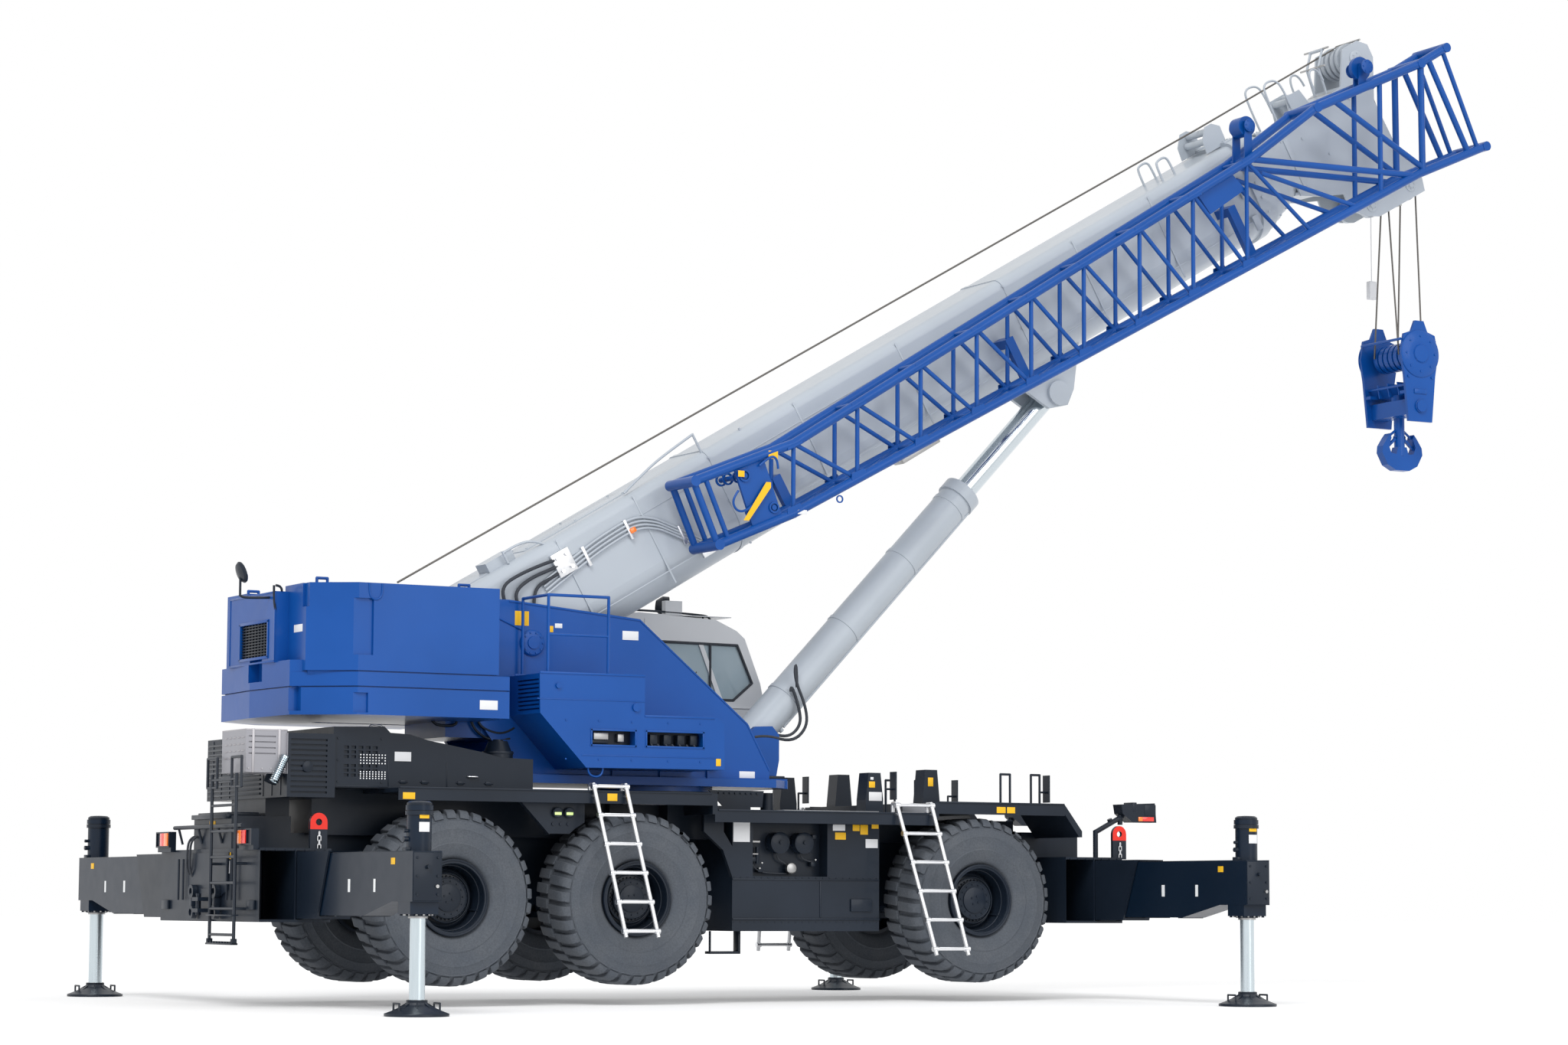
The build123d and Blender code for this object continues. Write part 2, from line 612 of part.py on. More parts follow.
def build_counterweight():
    plan = [(640, -1470), (-1120, -1470), (-1700, -1000), (-1760, 0), (-1700, 1000), (-1120, 1470), (640, 1470),
            (640, 560), (-820, 560), (-820, -560), (640, -560)]
    low = flat_plate(plan, TAIL_Z, 3358)
    middle = flat_plate(plan, 3372, 3520)
    spacer = flat_plate([(x * 0.98, y * 0.98) for x, y in plan], 3350, 3380)
    spacer = spacer - block((-820, 700), (-560, 560), (3300, 3400))
    # the middle slab rises under the rear block
    rear = flat_plate([(-1500, -1130), (-1700, -1000), (-1760, 0), (-1700, 1000), (-1500, 1130)], 3500, 3650)
    weights = joined([low, middle, spacer, rear])
    for side in (-1, 1):
        wing = [(510, side * 1470), (-1120, side * 1470), (-1590, side * 1160), (-1590, side * 560), (510, side * 560)]
        foot = [(470, side * 1440), (-1100, side * 1440), (-1550, side * 1140), (-1550, side * 600), (470, side * 600)]
        weights = weights + flat_plate(wing, 3535, 4465) + flat_plate(foot, 3500, 3550)
    weights = weights + block((-1745, -1450), (-660, 660), (3640, 4400))
    # recesses: x, y and z ranges
    cuts = [
        ((-1700, -1560), (-1560, -1060), (4210, 4500)),
        ((-1800, -1640), (-310, 50), (3450, 3700)),
        ((-1760, -1600), (-1400, -980), (3110, 3370)),
        ((-1300, -1000), (-1560, -1440), (3090, 3300)),
        ((-1800, -1690), (-460, 330), (3720, 4080)),
        ((-1250, -950), (-1480, -1440), (3700, 4300)),
    ]
    for x, y, z in cuts:
        weights = weights - block(x, y, z)
    for x, y in ((-1350, -1000), (-1350, 1000), (300, -1000), (300, 1000)):
        weights = weights + bent([(x - 60, y, 4440), (x - 60, y, 4530), (x + 60, y, 4530), (x + 60, y, 4440)], 16)
    return weights


# ---------------------------------------------------------------- cab
CAB_OUT = [(3000, 2700), (4900, 2700), (4970, 3300), (4880, 3690), (4670, 4210), (4560, 4300), (4280, 4420),
           (3270, 4470), (3020, 4440)]
CAB_IN = [(3045, 2745), (4856, 2745), (4924, 3300), (4837, 3675), (4632, 4183), (4540, 4255), (4262, 4375),
          (3275, 4424), (3065, 4400)]
PANE_SIDE = [(3550, 3480), (4520, 3480), (4770, 3690), (4570, 4130), (3550, 4140)]
PANE_DOOR = [(3610, 3420), (4510, 3420), (4510, 3640), (4400, 4100), (3610, 4100)]
FRONT_Z = (3350, 4100)        # of the windscreen
SKY_X = (3500, 4100)          # of the roof's window


def build_cab():
    y0, y1 = CAB_Y
    cab = side_plate(CAB_OUT, y0, y1) - side_plate(CAB_IN, y0 + CAB_WALL, y1 - CAB_WALL)
    cab = cab - side_plate(PANE_SIDE, y0 - 10, y0 + 60)
    cab = cab - side_plate([(3560, 2850), (4560, 2850), (4560, 3600), (4440, 4130), (3560, 4150)], y1 - 60, y1 + 10)
    cab = cab - block((4400, 5200), (y0 + 110, y1 - 110), FRONT_Z)
    cab = cab - block((2900, 3100), (y0 + 120, y1 - 120), (3500, 4200))
    cab = cab - block(SKY_X, (y0 + 150, y1 - 150), (4300, 4500))
    cab = cab + side_plate([(4050, 4140), (4110, 4140), (4385, 3470), (4325, 3470)], y0, y0 + 20)
    for z in (2850, 4150):
        cab = cab + block((3000, 4560), (y1 - 5, y1 + CLEAR - FIT), (z, z + 30))
    return cab + block((3640, 3860), (690, 780), (4420, 4625))


def build_cab_glass():
    y0, y1 = CAB_Y
    z0, z1 = FRONT_Z
    panes = [
        side_plate(PANE_SIDE, y0 + 20, y0 + 20 + PANE_T),
        side_plate([(4925, z0), (4845, 3690), (4680, z1), (4672, z1), (4837, 3687), (4917, z0)], y0 + 110, y1 - 110),
        block((3018, 3018 + PANE_T), (y0 + 120, y1 - 120), (3500, 4200)),
        side_plate([(SKY_X[0], 4440), (SKY_X[1], 4412), (SKY_X[1], 4404), (SKY_X[0], 4432)], y0 + 150, y1 - 150),
    ]
    return Compound(children=[s for p in panes for s in p.solids()])


def build_door():
    y = CAB_Y[1] + CLEAR
    door = side_plate([(3540, 2830), (4580, 2830), (4580, 3610), (4450, 4160), (3540, 4170)], y, y + DOOR_T)
    door = door - side_plate(PANE_DOOR, y - 10, y + DOOR_T + 10)
    return door + bent([(3680, y + 30, 3200), (3680, y + 75, 3200), (3680, y + 75, 3360), (3680, y + 30, 3360)], 9)


def build_door_glass():
    y = CAB_Y[1] + CLEAR + 16
    return side_plate(PANE_DOOR, y, y + PANE_T)


def build_seat():
    seat = block((3480, 3980), (840, 1280), (3050, 3180)) + block((3400, 3500), (840, 1280), (3150, 3850))
    arms = block((3480, 3860), (800, 850), (3300, 3360)) + block((3480, 3860), (1270, 1320), (3300, 3360))
    posts = block((3440, 3500), (800, 860), (3150, 3360)) + block((3440, 3500), (1260, 1320), (3150, 3360))
    return seat + block((3600, 3850), (950, 1170), (CAB_Z + CAB_WALL, 3060)) + arms + posts


# ---------------------------------------------------------------- boom
def build_boom_base():
    base = boom_tube(-BOOM_REAR, BOOM_L, BOOM_W, BOOM_H, BOOM_WALL)
    for s in (-BOOM_REAR + 100, BOOM_L * 0.26, BOOM_L * 0.65):
        base = base + boom_tube(s, s + 60, BOOM_W + 18, BOOM_H + 18, BOOM_WALL)
    base = base + boom_tube(BOOM_L - 160, BOOM_L, BOOM_W + 70, BOOM_H + 70, 40)
    hub = boom_across(0, 0, CHEEK_IN - CLEAR, FOOT_PIN_R + 60)
    hs, ht = CYL_HEAD
    ear = boom_plate([(hs - 520, -300), (hs - 200, ht - 110), (hs + 60, ht - 190), (hs + 240, ht - 60),
                      (hs + 620, -300)], 190, 250)
    boss = boom_rod((hs, 250, ht), (hs, 300, ht), EYE_R)
    base = base + both(ear + boss)
    # connector block for the hoses on top of the rear end
    base = base + boom_block((60, 420), (-330, -60), (BOOM_UP + BOOM_H / 2 - 6, BOOM_UP + BOOM_H / 2 + 110))
    inner = boom_bar(-BOOM_REAR - 10, BOOM_L + 40, BOOM_W - 2 * BOOM_WALL, BOOM_H - 2 * BOOM_WALL)
    base = base - (inner - boom_across(0, 0, CHEEK_IN, FOOT_PIN_R + 60))
    return (base + hub) - boom_across(0, 0, CHEEK_IN, FOOT_PIN_R + FIT)


def section_end(n):
    return BOOM_L + n * (COLLAR_L + COLLAR_GAP)


def build_section(n):
    """One telescoping tube, with a wear pad on its tail and a collar."""
    w = BOOM_W - n * STEP_W
    h = BOOM_H - n * STEP_H
    end = section_end(n)
    tail = 700 + STEP_TAIL * n
    top = BOOM_UP + h / 2
    tube = boom_tube(tail, end, w, h, BOOM_WALL)
    tube = tube + boom_block((tail + 10, tail + 200), (-150, 150), (top - 2, top + STEP_H / 2 - BOOM_WALL - FIT))
    return tube + boom_tube(end - COLLAR_L, end, w + STEP_W - 10, h + STEP_H - 10, 50)


def build_head(tip):
    """The nose of the last section: two plates, webs between them, and the sheaves above and behind."""
    outline = [(-60, -180), (250, -330), (580, -450), (560, -660), (760, -850), (960, -940), (1800, -960),
               (1870, -700), (1670, -200), (1650, 400), (1930, 900), (1930, 1080), (1800, 1190), (1520, 1190),
               (1250, 780), (-60, 640)]
    plate = boom_plate([(tip + s, t) for s, t in outline], 255, 285)
    webs = [
        boom_plate([(tip - 60, -160), (tip + 250, -300), (tip + 290, -300), (tip + 290, -270), (tip - 60, -120)],
                   -260, 260),
        boom_plate([(tip - 60, 640), (tip + 1250, 780), (tip + 1250, 750), (tip - 60, 600)], -260, 260),
        boom_plate([(tip + 1640, -150), (tip + 1670, -150), (tip + 1650, 380), (tip + 1620, 380)], -260, 260),
        boom_plate([(tip + 250, -300), (tip + 280, -300), (tip + 900, 720), (tip + 860, 720)], -260, 260),
    ]
    made = [both(plate)] + webs
    # s, t and radius of each axle's sheaves, and where they stand in Y
    for s, t, r, rows in ((1660, 1000, 215, (-150, -50, 50, 150)), (900, -760, 150, (-215, 215))):
        for y in rows:
            made.append(boom_rod((tip + s, y - 30, t), (tip + s, y + 30, t), r))
        made.append(boom_across(tip + s, t, 300, 45))
    # rollers that guide the rope over the top, in their bracket
    made.append(both(boom_plate([(tip + 380, 680), (tip + 780, 720), (tip + 700, 1000), (tip + 460, 1000)], 150, 175)))
    made.append(boom_across(tip + 500, 930, 175, 45))
    made.append(boom_across(tip + 660, 940, 175, 45))
    guard = [(tip + 1120, 0, 760), (tip + 1180, 0, 1120), (tip + 1360, 0, 1300)]
    for y in (-120, 120):
        for a, b in zip(guard, guard[1:]):
            made.append(boom_rod((a[0], y, a[2]), (b[0], y, b[2]), 16))
    made.append(boom_across(tip + 1352, 1292, 140, 20))
    return made


def build_boom():
    save(build_boom_base(), "boom_base")
    for n in range(1, SECTIONS):
        save(build_section(n), f"boom_section_{n}")
    hs, ht = HEAD_PIN
    nose = joined([build_section(SECTIONS)] + build_head(section_end(SECTIONS)))
    save(nose - boom_across(hs, ht, 320, HEAD_PIN_R + FIT), f"boom_section_{SECTIONS}")
    sheaves = [boom_across(hs, ht, 300, HEAD_PIN_R)]
    for i in (-1.5, -0.5, 0.5, 1.5):
        y = i * SHEAVE_PITCH
        sheaves.append(boom_rod((hs, y - 35, ht), (hs, y + 35, ht), SHEAVE_R))
    save(joined(sheaves), "head_sheaves")


# ---------------------------------------------------------------- lattice jib
JIB_X = (4260, 5100, 5950, 6720, 7480, 8230, 9040, 9830, 10640)   # of its posts
JIB_FOOT = ((2980, 5800), (3290, 5100))


def chord_top(x):
    return x, 3700 + 0.612 * x


def chord_low(x):
    return x, 3240 + 0.532 * x


def build_jib():
    """The lattice jib, stowed along the right side of the base section."""
    top = [JIB_FOOT[0], chord_top(JIB_X[0]), chord_top(10700), (11710, 11000), (13360, 11750), (13770, 12000)]
    low = [JIB_FOOT[1], chord_low(JIB_X[0]), chord_low(13330), (14400, 10790)]
    # x, z of both ends and the radius of what braces each side frame
    bars = [JIB_FOOT[0] + JIB_FOOT[1] + (40,), (3120, 5860, 3430, 5160, 30)]
    for x, nxt in zip(JIB_X, JIB_X[1:] + (11630,)):
        bars.append(chord_top(x) + chord_low(x) + (LACE_R,))
        bars.append(chord_top(x) + chord_low(nxt) + (LACE_R,))
    bars += [(10700, 10248, 13250, 10300, 40), (11990, 11130, 13380, 10420, 38), (10860, 10090, 12350, 9810, 30),
             (13380, 11760, 13390, 10380, 42), (13500, 11830, 14130, 10690, 38), (12720, 11460, 12720, 10010, 32),
             (13730, 11975, 14290, 10750, 30)]
    made = []
    for y in JIB_Y:
        for line, r in ((top, CHORD_R), (low, CHORD_R)):
            made += [rod((a[0], y, a[1]), (b[0], y, b[1]), r) for a, b in zip(line, line[1:])]
        made += [rod((a, y, b), (c, y, d), r) for a, b, c, d, r in bars]
    y0, y1 = JIB_Y
    for x, z in (JIB_FOOT[0], JIB_FOOT[1], (11710, 11000), (13360, 11750), (13770, 12000), (14400, 10790)):
        made.append(rod((x, y0 - CHORD_R - 4, z), (x, y1 + CHORD_R + 4, z), CHORD_R + 6))
    for x, nxt in zip(JIB_X, JIB_X[1:] + (11630,)):
        for chord in (chord_top, chord_low):
            a = chord(x)
            made.append(rod((a[0], y0, a[1]), (a[0], y1, a[1]), LACE_R))
        b = chord_low(nxt)
        made.append(rod((a[0], y0, a[1]), (b[0], y1, b[1]), LACE_R))
    # plates at the foot and near the tip
    made.append(side_plate([(3500, 5960), (3860, 6130), (4130, 5420), (3760, 5260)], y0 - 12, y0 + 25))
    made.append(side_plate([(9870, 9790), (10400, 10070), (10640, 9870), (10110, 9510)], y0 + 20, y0 + 90))
    # sheave over the fork, and the drum behind it
    for x, z, r, hw, foot_z in ((12610, 11650, 150, 30, 11380), (10770, 10700, 125, 100, 10280)):
        y = (y0 + y1) / 2
        made.append(rod((x, y - hw, z), (x, y + hw, z), r))
        made.append(rod((x, y0, foot_z), (x, y1, foot_z), 38))
        for side in (-1, 1):
            a = y + side * (hw + 22)
            made.append(side_plate([(x - 60, foot_z - 20), (x + 60, foot_z - 20), (x + 50, z + 60), (x - 50, z + 60)],
                                   a - 10, a + 10))
        made.append(rod((x, y - hw - 30, z), (x, y + hw + 30, z), 28))
    lattice = joined(made)
    a = on_boom(*chord_low(JIB_X[0]))
    b = on_boom(*chord_low(13330))
    slope = (b[1] - a[1]) / (b[0] - a[0])
    for f in (0.30, 0.61, 0.93):
        s = f * BOOM_L
        t = a[1] + slope * (s + 60 - a[0])
        lattice = lattice + boom_block((s, s + 120), (y1 - 40, y1 + 40), (t, 240))
        lattice = lattice + boom_block((s, s + 120), (y1 - 40, -BOOM_W / 2 + 4.8), (130, 240))
    return lattice


# ---------------------------------------------------------------- lift cylinder
def build_lift():
    hx, hz = off_boom(*CYL_HEAD)
    fx, fz = CYL_FOOT
    length = math.hypot(hx - fx, hz - fz)

    def on_cyl(d):
        return fx + (hx - fx) * d / length, 0.0, fz + (hz - fz) * d / length

    barrel = rod(on_cyl(140), on_cyl(BARREL_L), BARREL_R) + rod(on_cyl(BARREL_L - 150), on_cyl(BARREL_L), BARREL_R + 25)
    barrel = barrel - rod(on_cyl(235), on_cyl(BARREL_L + 10), ROD_R + FIT)
    barrel = barrel + across(fx, fz, 225, 190)
    save(barrel - across(fx, fz, 230, CYL_PIN_R + FIT), "lift_barrel")
    save(across(fx, fz, 330, CYL_PIN_R), "lift_foot_pin")
    save(rod(on_cyl(PISTON[1] + FIT), on_cyl(length - 100), ROD_R) + across(hx, hz, EYE_HW, EYE_R), "lift_rod")
    save(rod(on_cyl(PISTON[0]), on_cyl(PISTON[1]), ROD_R), "lift_piston")


# ---------------------------------------------------------------- hook
def build_hook():
    x, z = off_boom(*HEAD_PIN)
    half = [(70, 8610), (130, 8470), (250, 8430), (300, 8180), (250, 7900), (190, 7300)]
    outline = [(x + a, b) for a, b in half] + [(x - a, b) for a, b in reversed(half)]
    made = [both(side_plate(outline, 395, 435))]
    for i in (-2.5, -1.5, -0.5, 0.5, 1.5, 2.5):
        y = i * SHEAVE_PITCH
        made.append(rod((x, y - 35, BLOCK_Z), (x, y + 35, BLOCK_Z), SHEAVE_R))
    made.append(across(x, BLOCK_Z, 455, 60))
    made.append(block((x - 130, x + 130), (-415, 415), (CROSSHEAD_Z - 100, CROSSHEAD_Z + 100)))
    made.append(across(x, CROSSHEAD_Z, 470, 75))
    made.append(both(block((x - 225, x + 225), (300, 400), (7660, 7700))))
    shank_hole = rod((x, 0, 7390), (x, 0, 7800), SHANK_R + FIT)
    save(joined(made) - shank_hole, "hook_block")

    shank = rod((x, 0, 6900), (x, 0, CROSSHEAD_Z + 110), SHANK_R)
    nut = rod((x, 0, CROSSHEAD_Z + 100 + FIT), (x, 0, CROSSHEAD_Z + 180), 105)
    horn = [(SHANK_R, 7010), (100, 6915), (180, 6925), (215, 7010), (175, 7120), (190, 7180), (240, 7120), (315, 7010),
            (325, 6920), (240, 6770), (110, 6705)]
    profile = [(x + a, b) for a, b in horn] + [(x - a, b) for a, b in reversed(horn)]
    latches = [rod((x + s * 60, 0, 7230), (x + s * 195, 0, 7130), 16) for s in (-1, 1)]
    save(joined([shank, nut, side_plate(profile, -62, 62)] + latches), "hook")

    falls = []
    dx = SHEAVE_R + ROPE_R + FIT
    for side in (-1, 1):
        for sx, row in ((-1, 0.5), (1, 1.5)):
            foot = (x + sx * dx, side * 2.5 * SHEAVE_PITCH, BLOCK_Z)
            falls.append(rod(foot, (x + sx * dx, side * row * SHEAVE_PITCH, z), ROPE_R))
    save(Compound(children=[f.solids()[0] for f in falls]), "rope_falls")


# ---------------------------------------------------------------- everything
for name, build in (("chassis", build_chassis), ("engine_hood", build_hood), ("ladders", build_ladders),
                    ("grab_rails", build_rails), ("lamps", build_lamps), ("axles", build_axles),
                    ("turntable", build_turntable), ("winch", build_winch), ("counterweight", build_counterweight),
                    ("cab", build_cab), ("cab_glass", build_cab_glass), ("cab_door", build_door),
                    ("door_glass", build_door_glass), ("cab_seat", build_seat), ("jib", build_jib)):
    save(build(), name)

tyre = tyre_solid()
rim = rim_solid()
for where, x in AXLE_X.items():
    for side, tag in ((-1, "right"), (1, "left")):
        place = Pos(x - X_MID, side * TRACK_Y, HUB_Z) * Rot(0, 0, 90 + 90 * side)
        save(place * tyre, f"tyre_{where}_{tag}")
        save(place * rim, f"rim_{where}_{tag}")
        save(knuckle(x, side), f"knuckle_{where}_{tag}")
for where, x in BOX_X.items():
    for side, tag in ((-1, "right"), (1, "left")):
        cx = x - side * BEAM_DX
        save(sleeve(cx, side), f"sleeve_{where}_{tag}")
        save(beam(cx, side), f"beam_{where}_{tag}")
        save(jack(cx, side), f"jack_{where}_{tag}")

save(across(FOOT[0], FOOT[1], CHEEK_IN + 90, FOOT_PIN_R), "boom_foot_pin")
build_boom()
build_lift()
build_hook()
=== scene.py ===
"""Looks of a three-axle rough-terrain crane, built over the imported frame. Metres, Z up, X forward, Y to the left."""
import json
import math

import bmesh
import bpy
from mathutils import Matrix, Vector

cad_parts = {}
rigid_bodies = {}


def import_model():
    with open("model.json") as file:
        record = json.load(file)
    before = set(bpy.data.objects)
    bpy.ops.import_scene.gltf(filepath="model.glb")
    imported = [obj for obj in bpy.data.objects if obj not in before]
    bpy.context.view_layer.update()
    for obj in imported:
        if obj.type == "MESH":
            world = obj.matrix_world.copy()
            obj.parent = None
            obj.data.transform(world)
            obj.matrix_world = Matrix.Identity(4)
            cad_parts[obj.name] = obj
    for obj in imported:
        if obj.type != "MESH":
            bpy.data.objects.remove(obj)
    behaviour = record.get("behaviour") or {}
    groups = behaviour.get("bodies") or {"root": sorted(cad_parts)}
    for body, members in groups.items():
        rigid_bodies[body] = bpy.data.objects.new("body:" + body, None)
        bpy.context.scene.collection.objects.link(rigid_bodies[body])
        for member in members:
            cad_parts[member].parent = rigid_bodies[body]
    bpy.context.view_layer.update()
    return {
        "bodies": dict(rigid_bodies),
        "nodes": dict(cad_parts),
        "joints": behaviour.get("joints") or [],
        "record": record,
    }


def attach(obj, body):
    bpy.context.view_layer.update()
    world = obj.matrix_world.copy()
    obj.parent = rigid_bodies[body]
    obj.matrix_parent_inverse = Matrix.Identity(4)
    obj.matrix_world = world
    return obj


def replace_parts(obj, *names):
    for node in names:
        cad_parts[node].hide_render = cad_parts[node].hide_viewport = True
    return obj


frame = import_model()
NODES = frame["nodes"]

# ---------------------------------------------------------------- shader graph


class Socket:
    """One output in a shader graph. Sums on it add the Math nodes that work them out."""

    def __init__(self, graph, out):
        self.graph = graph
        self.out = out

    def sum(self, operation, first, second=0.0, clamp=False):
        settings = {"operation": operation, "use_clamp": clamp}
        return self.graph.add("Math", settings, {0: first, 1: second})

    def __add__(self, other):
        return self.sum("ADD", self, other)

    __radd__ = __add__

    def __mul__(self, other):
        return self.sum("MULTIPLY", self, other)

    __rmul__ = __mul__

    def __sub__(self, other):
        return self.sum("SUBTRACT", self, other)

    def __rsub__(self, other):
        return self.sum("SUBTRACT", other, self)

    def __truediv__(self, other):
        return self.sum("DIVIDE", self, other)

    def __pow__(self, other):
        return self.sum("POWER", self, other)

    def clamped(self):
        return self.sum("ADD", self, 0.0, clamp=True)

    def between(self, low, high):
        """0 at low, 1 at high, straight in between."""
        return self.sum("MULTIPLY", self - low, 1.0 / (high - low), clamp=True)

    def above(self, level):
        return self.sum("GREATER_THAN", self, level)

    def size(self):
        return self.sum("ABSOLUTE", self)

    def sine(self):
        return self.sum("SINE", self)

    def part(self, index):
        """One of X, Y and Z of a vector."""
        return self.graph.add("SeparateXYZ", {}, {0: self}, index)


class Graph:
    """A node tree, and the few kinds of node that the finishes and the light are made of."""

    def __init__(self, name, holder=None):
        """Starts a material of that name, or takes over the graph of another holder."""
        self.material = holder or bpy.data.materials.new(name)
        self.material.use_nodes = True
        self.tree = self.material.node_tree
        self.tree.nodes.clear()
        self.place = self.add("TexCoord", out="Object")

    def add(self, kind, settings=None, inputs=None, out=0):
        node = self.tree.nodes.new("ShaderNode" + kind)
        for key, value in (settings or {}).items():
            setattr(node, key, value)
        for key, value in (inputs or {}).items():
            if isinstance(value, Socket):
                self.tree.links.new(value.out, node.inputs[key])
            else:
                node.inputs[key].default_value = value
        return None if out is None else Socket(self, node.outputs[out])

    def noise(self, scale, detail=2.0, stretch=None):
        place = self.place
        if stretch:
            place = self.add("Mapping", {}, {"Vector": place, "Scale": stretch})
        inputs = {"Vector": place, "Scale": scale, "Detail": detail}
        return self.add("TexNoise", {}, inputs)

    def mix(self, first, second, share):
        inputs = {0: share, 6: rgba(first), 7: rgba(second)}
        return self.add("Mix", {"data_type": "RGBA"}, inputs, 2)

    def bump(self, height, strength, distance):
        inputs = {"Height": height, "Strength": strength, "Distance": distance}
        return self.add("Bump", {}, inputs)

    def shade(self, **inputs):
        """The surface shader, with the names of its sockets as keywords."""
        names = {key.replace("_", " "): value for key, value in inputs.items()}
        for key in ("Base Color", "Emission Color"):
            if key in names:
                names[key] = rgba(names[key])
        return self.add("BsdfPrincipled", {}, names)

    def finish(self, surface):
        self.add("OutputMaterial", {}, {"Surface": surface}, None)
        return self.material


def rgba(colour):
    if isinstance(colour, Socket) or len(colour) == 4:
        return colour
    return (*colour, 1.0)


# ---------------------------------------------------------------- finishes

BLUE = (0.001, 0.068, 0.315)
BOOM_GREY = (0.455, 0.500, 0.552)
BLACK = (0.008, 0.014, 0.025)
RUBBER = (0.062, 0.072, 0.088)
DUST = (0.34, 0.33, 0.31)


def paint(name, colour, roughness=0.34, coat=0.15, dust=0.04, shift=0.06):
    """Sprayed enamel: slow tone changes, orange peel and a little dust on what faces up."""
    g = Graph(name)
    tone = g.noise(0.9, 3.0).between(0.35, 0.65)
    deep = tuple(c * (1 - shift) for c in colour)
    pale = tuple(min(1.0, c * (1 + shift) + 0.002) for c in colour)
    base = g.mix(deep, pale, tone)
    up = g.add("NewGeometry", out="Normal").part(2).between(0.3, 1.0)
    specks = g.noise(38.0, 4.0).between(0.45, 0.7)
    base = g.mix(base, DUST, up * specks * dust)
    peel = g.noise(420.0, 2.0)
    rough = g.noise(6.0, 3.0) * 0.12 + (roughness - 0.06)
    normal = g.bump(peel, 0.06, 0.0006)
    return g.finish(g.shade(Base_Color=base, Roughness=rough, Specular_IOR_Level=0.22, Coat_Weight=coat,
                            Coat_Roughness=0.12, Normal=normal))


def rubber(name, colour, dust=0.35):
    g = Graph(name)
    fine = g.noise(55.0, 5.0)
    broad = g.noise(3.2, 3.0).between(0.3, 0.7)
    base = g.mix(colour, tuple(c * 1.35 for c in colour), fine.between(0.3, 0.75))
    base = g.mix(base, DUST, broad * fine * dust * 0.4)
    normal = g.bump(g.noise(260.0, 3.0), 0.25, 0.001)
    return g.finish(g.shade(Base_Color=base, Roughness=0.72 + fine * 0.15, Specular_IOR_Level=0.35, Normal=normal))


def metal(name, colour, roughness, grain=(1.0, 1.0, 1.0), scratch=0.08):
    g = Graph(name)
    streak = g.noise(90.0, 3.0, stretch=grain)
    base = g.mix(tuple(c * 0.88 for c in colour), colour, streak.between(0.3, 0.7))
    rough = streak * scratch * 2 + (roughness - scratch)
    normal = g.bump(streak, 0.05, 0.0004)
    return g.finish(g.shade(Base_Color=base, Metallic=1.0, Roughness=rough, Normal=normal))


def glass(name, colour, alpha):
    g = Graph(name)
    smear = g.noise(2.5, 3.0) * 0.05
    return g.finish(g.shade(Base_Color=colour, Roughness=0.04 + smear, Alpha=alpha, IOR=1.45))


def two_paints(name, colour, other, share, roughness=0.34, coat=0.12):
    """Enamel in two colours, where share is a function of the graph that says how much of the other."""
    g = Graph(name)
    mask = share(g)
    tone = g.noise(0.9, 3.0).between(0.35, 0.65)
    base = g.mix(tuple(c * 0.92 for c in colour), colour, tone)
    base = g.mix(base, other, mask)
    rough = g.noise(6.0, 3.0) * 0.12 + (roughness - 0.06)
    normal = g.bump(g.noise(420.0, 2.0), 0.06, 0.0006)
    return g.finish(g.shade(Base_Color=base, Roughness=rough, Specular_IOR_Level=0.22, Coat_Weight=coat,
                            Coat_Roughness=0.12, Normal=normal))


def band(value, middle, half):
    """1 where the value lies within half of the middle, 0 elsewhere."""
    return value.above(middle - half) * (1.0 - value.above(middle + half))


def beam_marks(g):
    """White ticks that show how far a beam is out."""
    y = g.place.part(1).size()
    z = g.place.part(2)
    ticks = band(y, 1.07, 0.026) + band(y, 1.64, 0.026) + band(y, 2.81, 0.03) + band(y, 3.46, 0.026)
    return ticks * band(z, 1.27, 0.065)


def cab_skirt(g):
    """The blue part of the cab, below a slanted line."""
    x = g.place.part(0)
    z = g.place.part(2)
    return 1.0 - (z + x * 0.12).above(2.98)


def silencer_part(g):
    """The silencer, at the hood's rear end."""
    right = 1.0 - g.place.part(1).above(-0.44)
    return (1.0 - g.place.part(0).above(-7.835)) * g.place.part(2).above(2.44) * right


def ladder_metal(name):
    """Bare side ladders, and a painted one at the rear."""
    g = Graph(name)
    bare = g.place.part(0).above(-8.2)
    streak = g.noise(60.0, 3.0, stretch=(1.0, 1.0, 0.1))
    base = g.mix(BLACK, g.mix((0.70, 0.71, 0.73), (0.82, 0.83, 0.85), streak), bare)
    return g.finish(g.shade(Base_Color=base, Metallic=bare * 0.9, Roughness=0.42 - bare * 0.10,
                            Normal=g.bump(streak, 0.05, 0.0004)))


def jack_metal(name):
    """Polished rod over a painted float."""
    g = Graph(name)
    rod = g.place.part(2).above(0.152)
    streak = g.noise(60.0, 3.0, stretch=(1.0, 1.0, 0.05))
    base = g.mix(BLACK, g.mix((0.52, 0.60, 0.64), (0.66, 0.73, 0.77), streak), rod)
    rough = rod * (streak * 0.08 - 0.22) + 0.42
    return g.finish(g.shade(Base_Color=base, Metallic=rod * 0.95, Roughness=rough,
                            Normal=g.bump(streak, 0.05, 0.0004)))


def lens(name, colour, glow):
    """Ribbed lamp glass."""
    g = Graph(name)
    ribs = (g.place.part(1) * 420.0).sine()
    base = g.mix(tuple(c * 0.75 for c in colour), colour, ribs * 0.5 + 0.5)
    return g.finish(g.shade(Base_Color=base, Roughness=0.12, Coat_Weight=0.8, Emission_Color=colour,
                            Emission_Strength=glow, Normal=g.bump(ribs, 0.3, 0.002)))


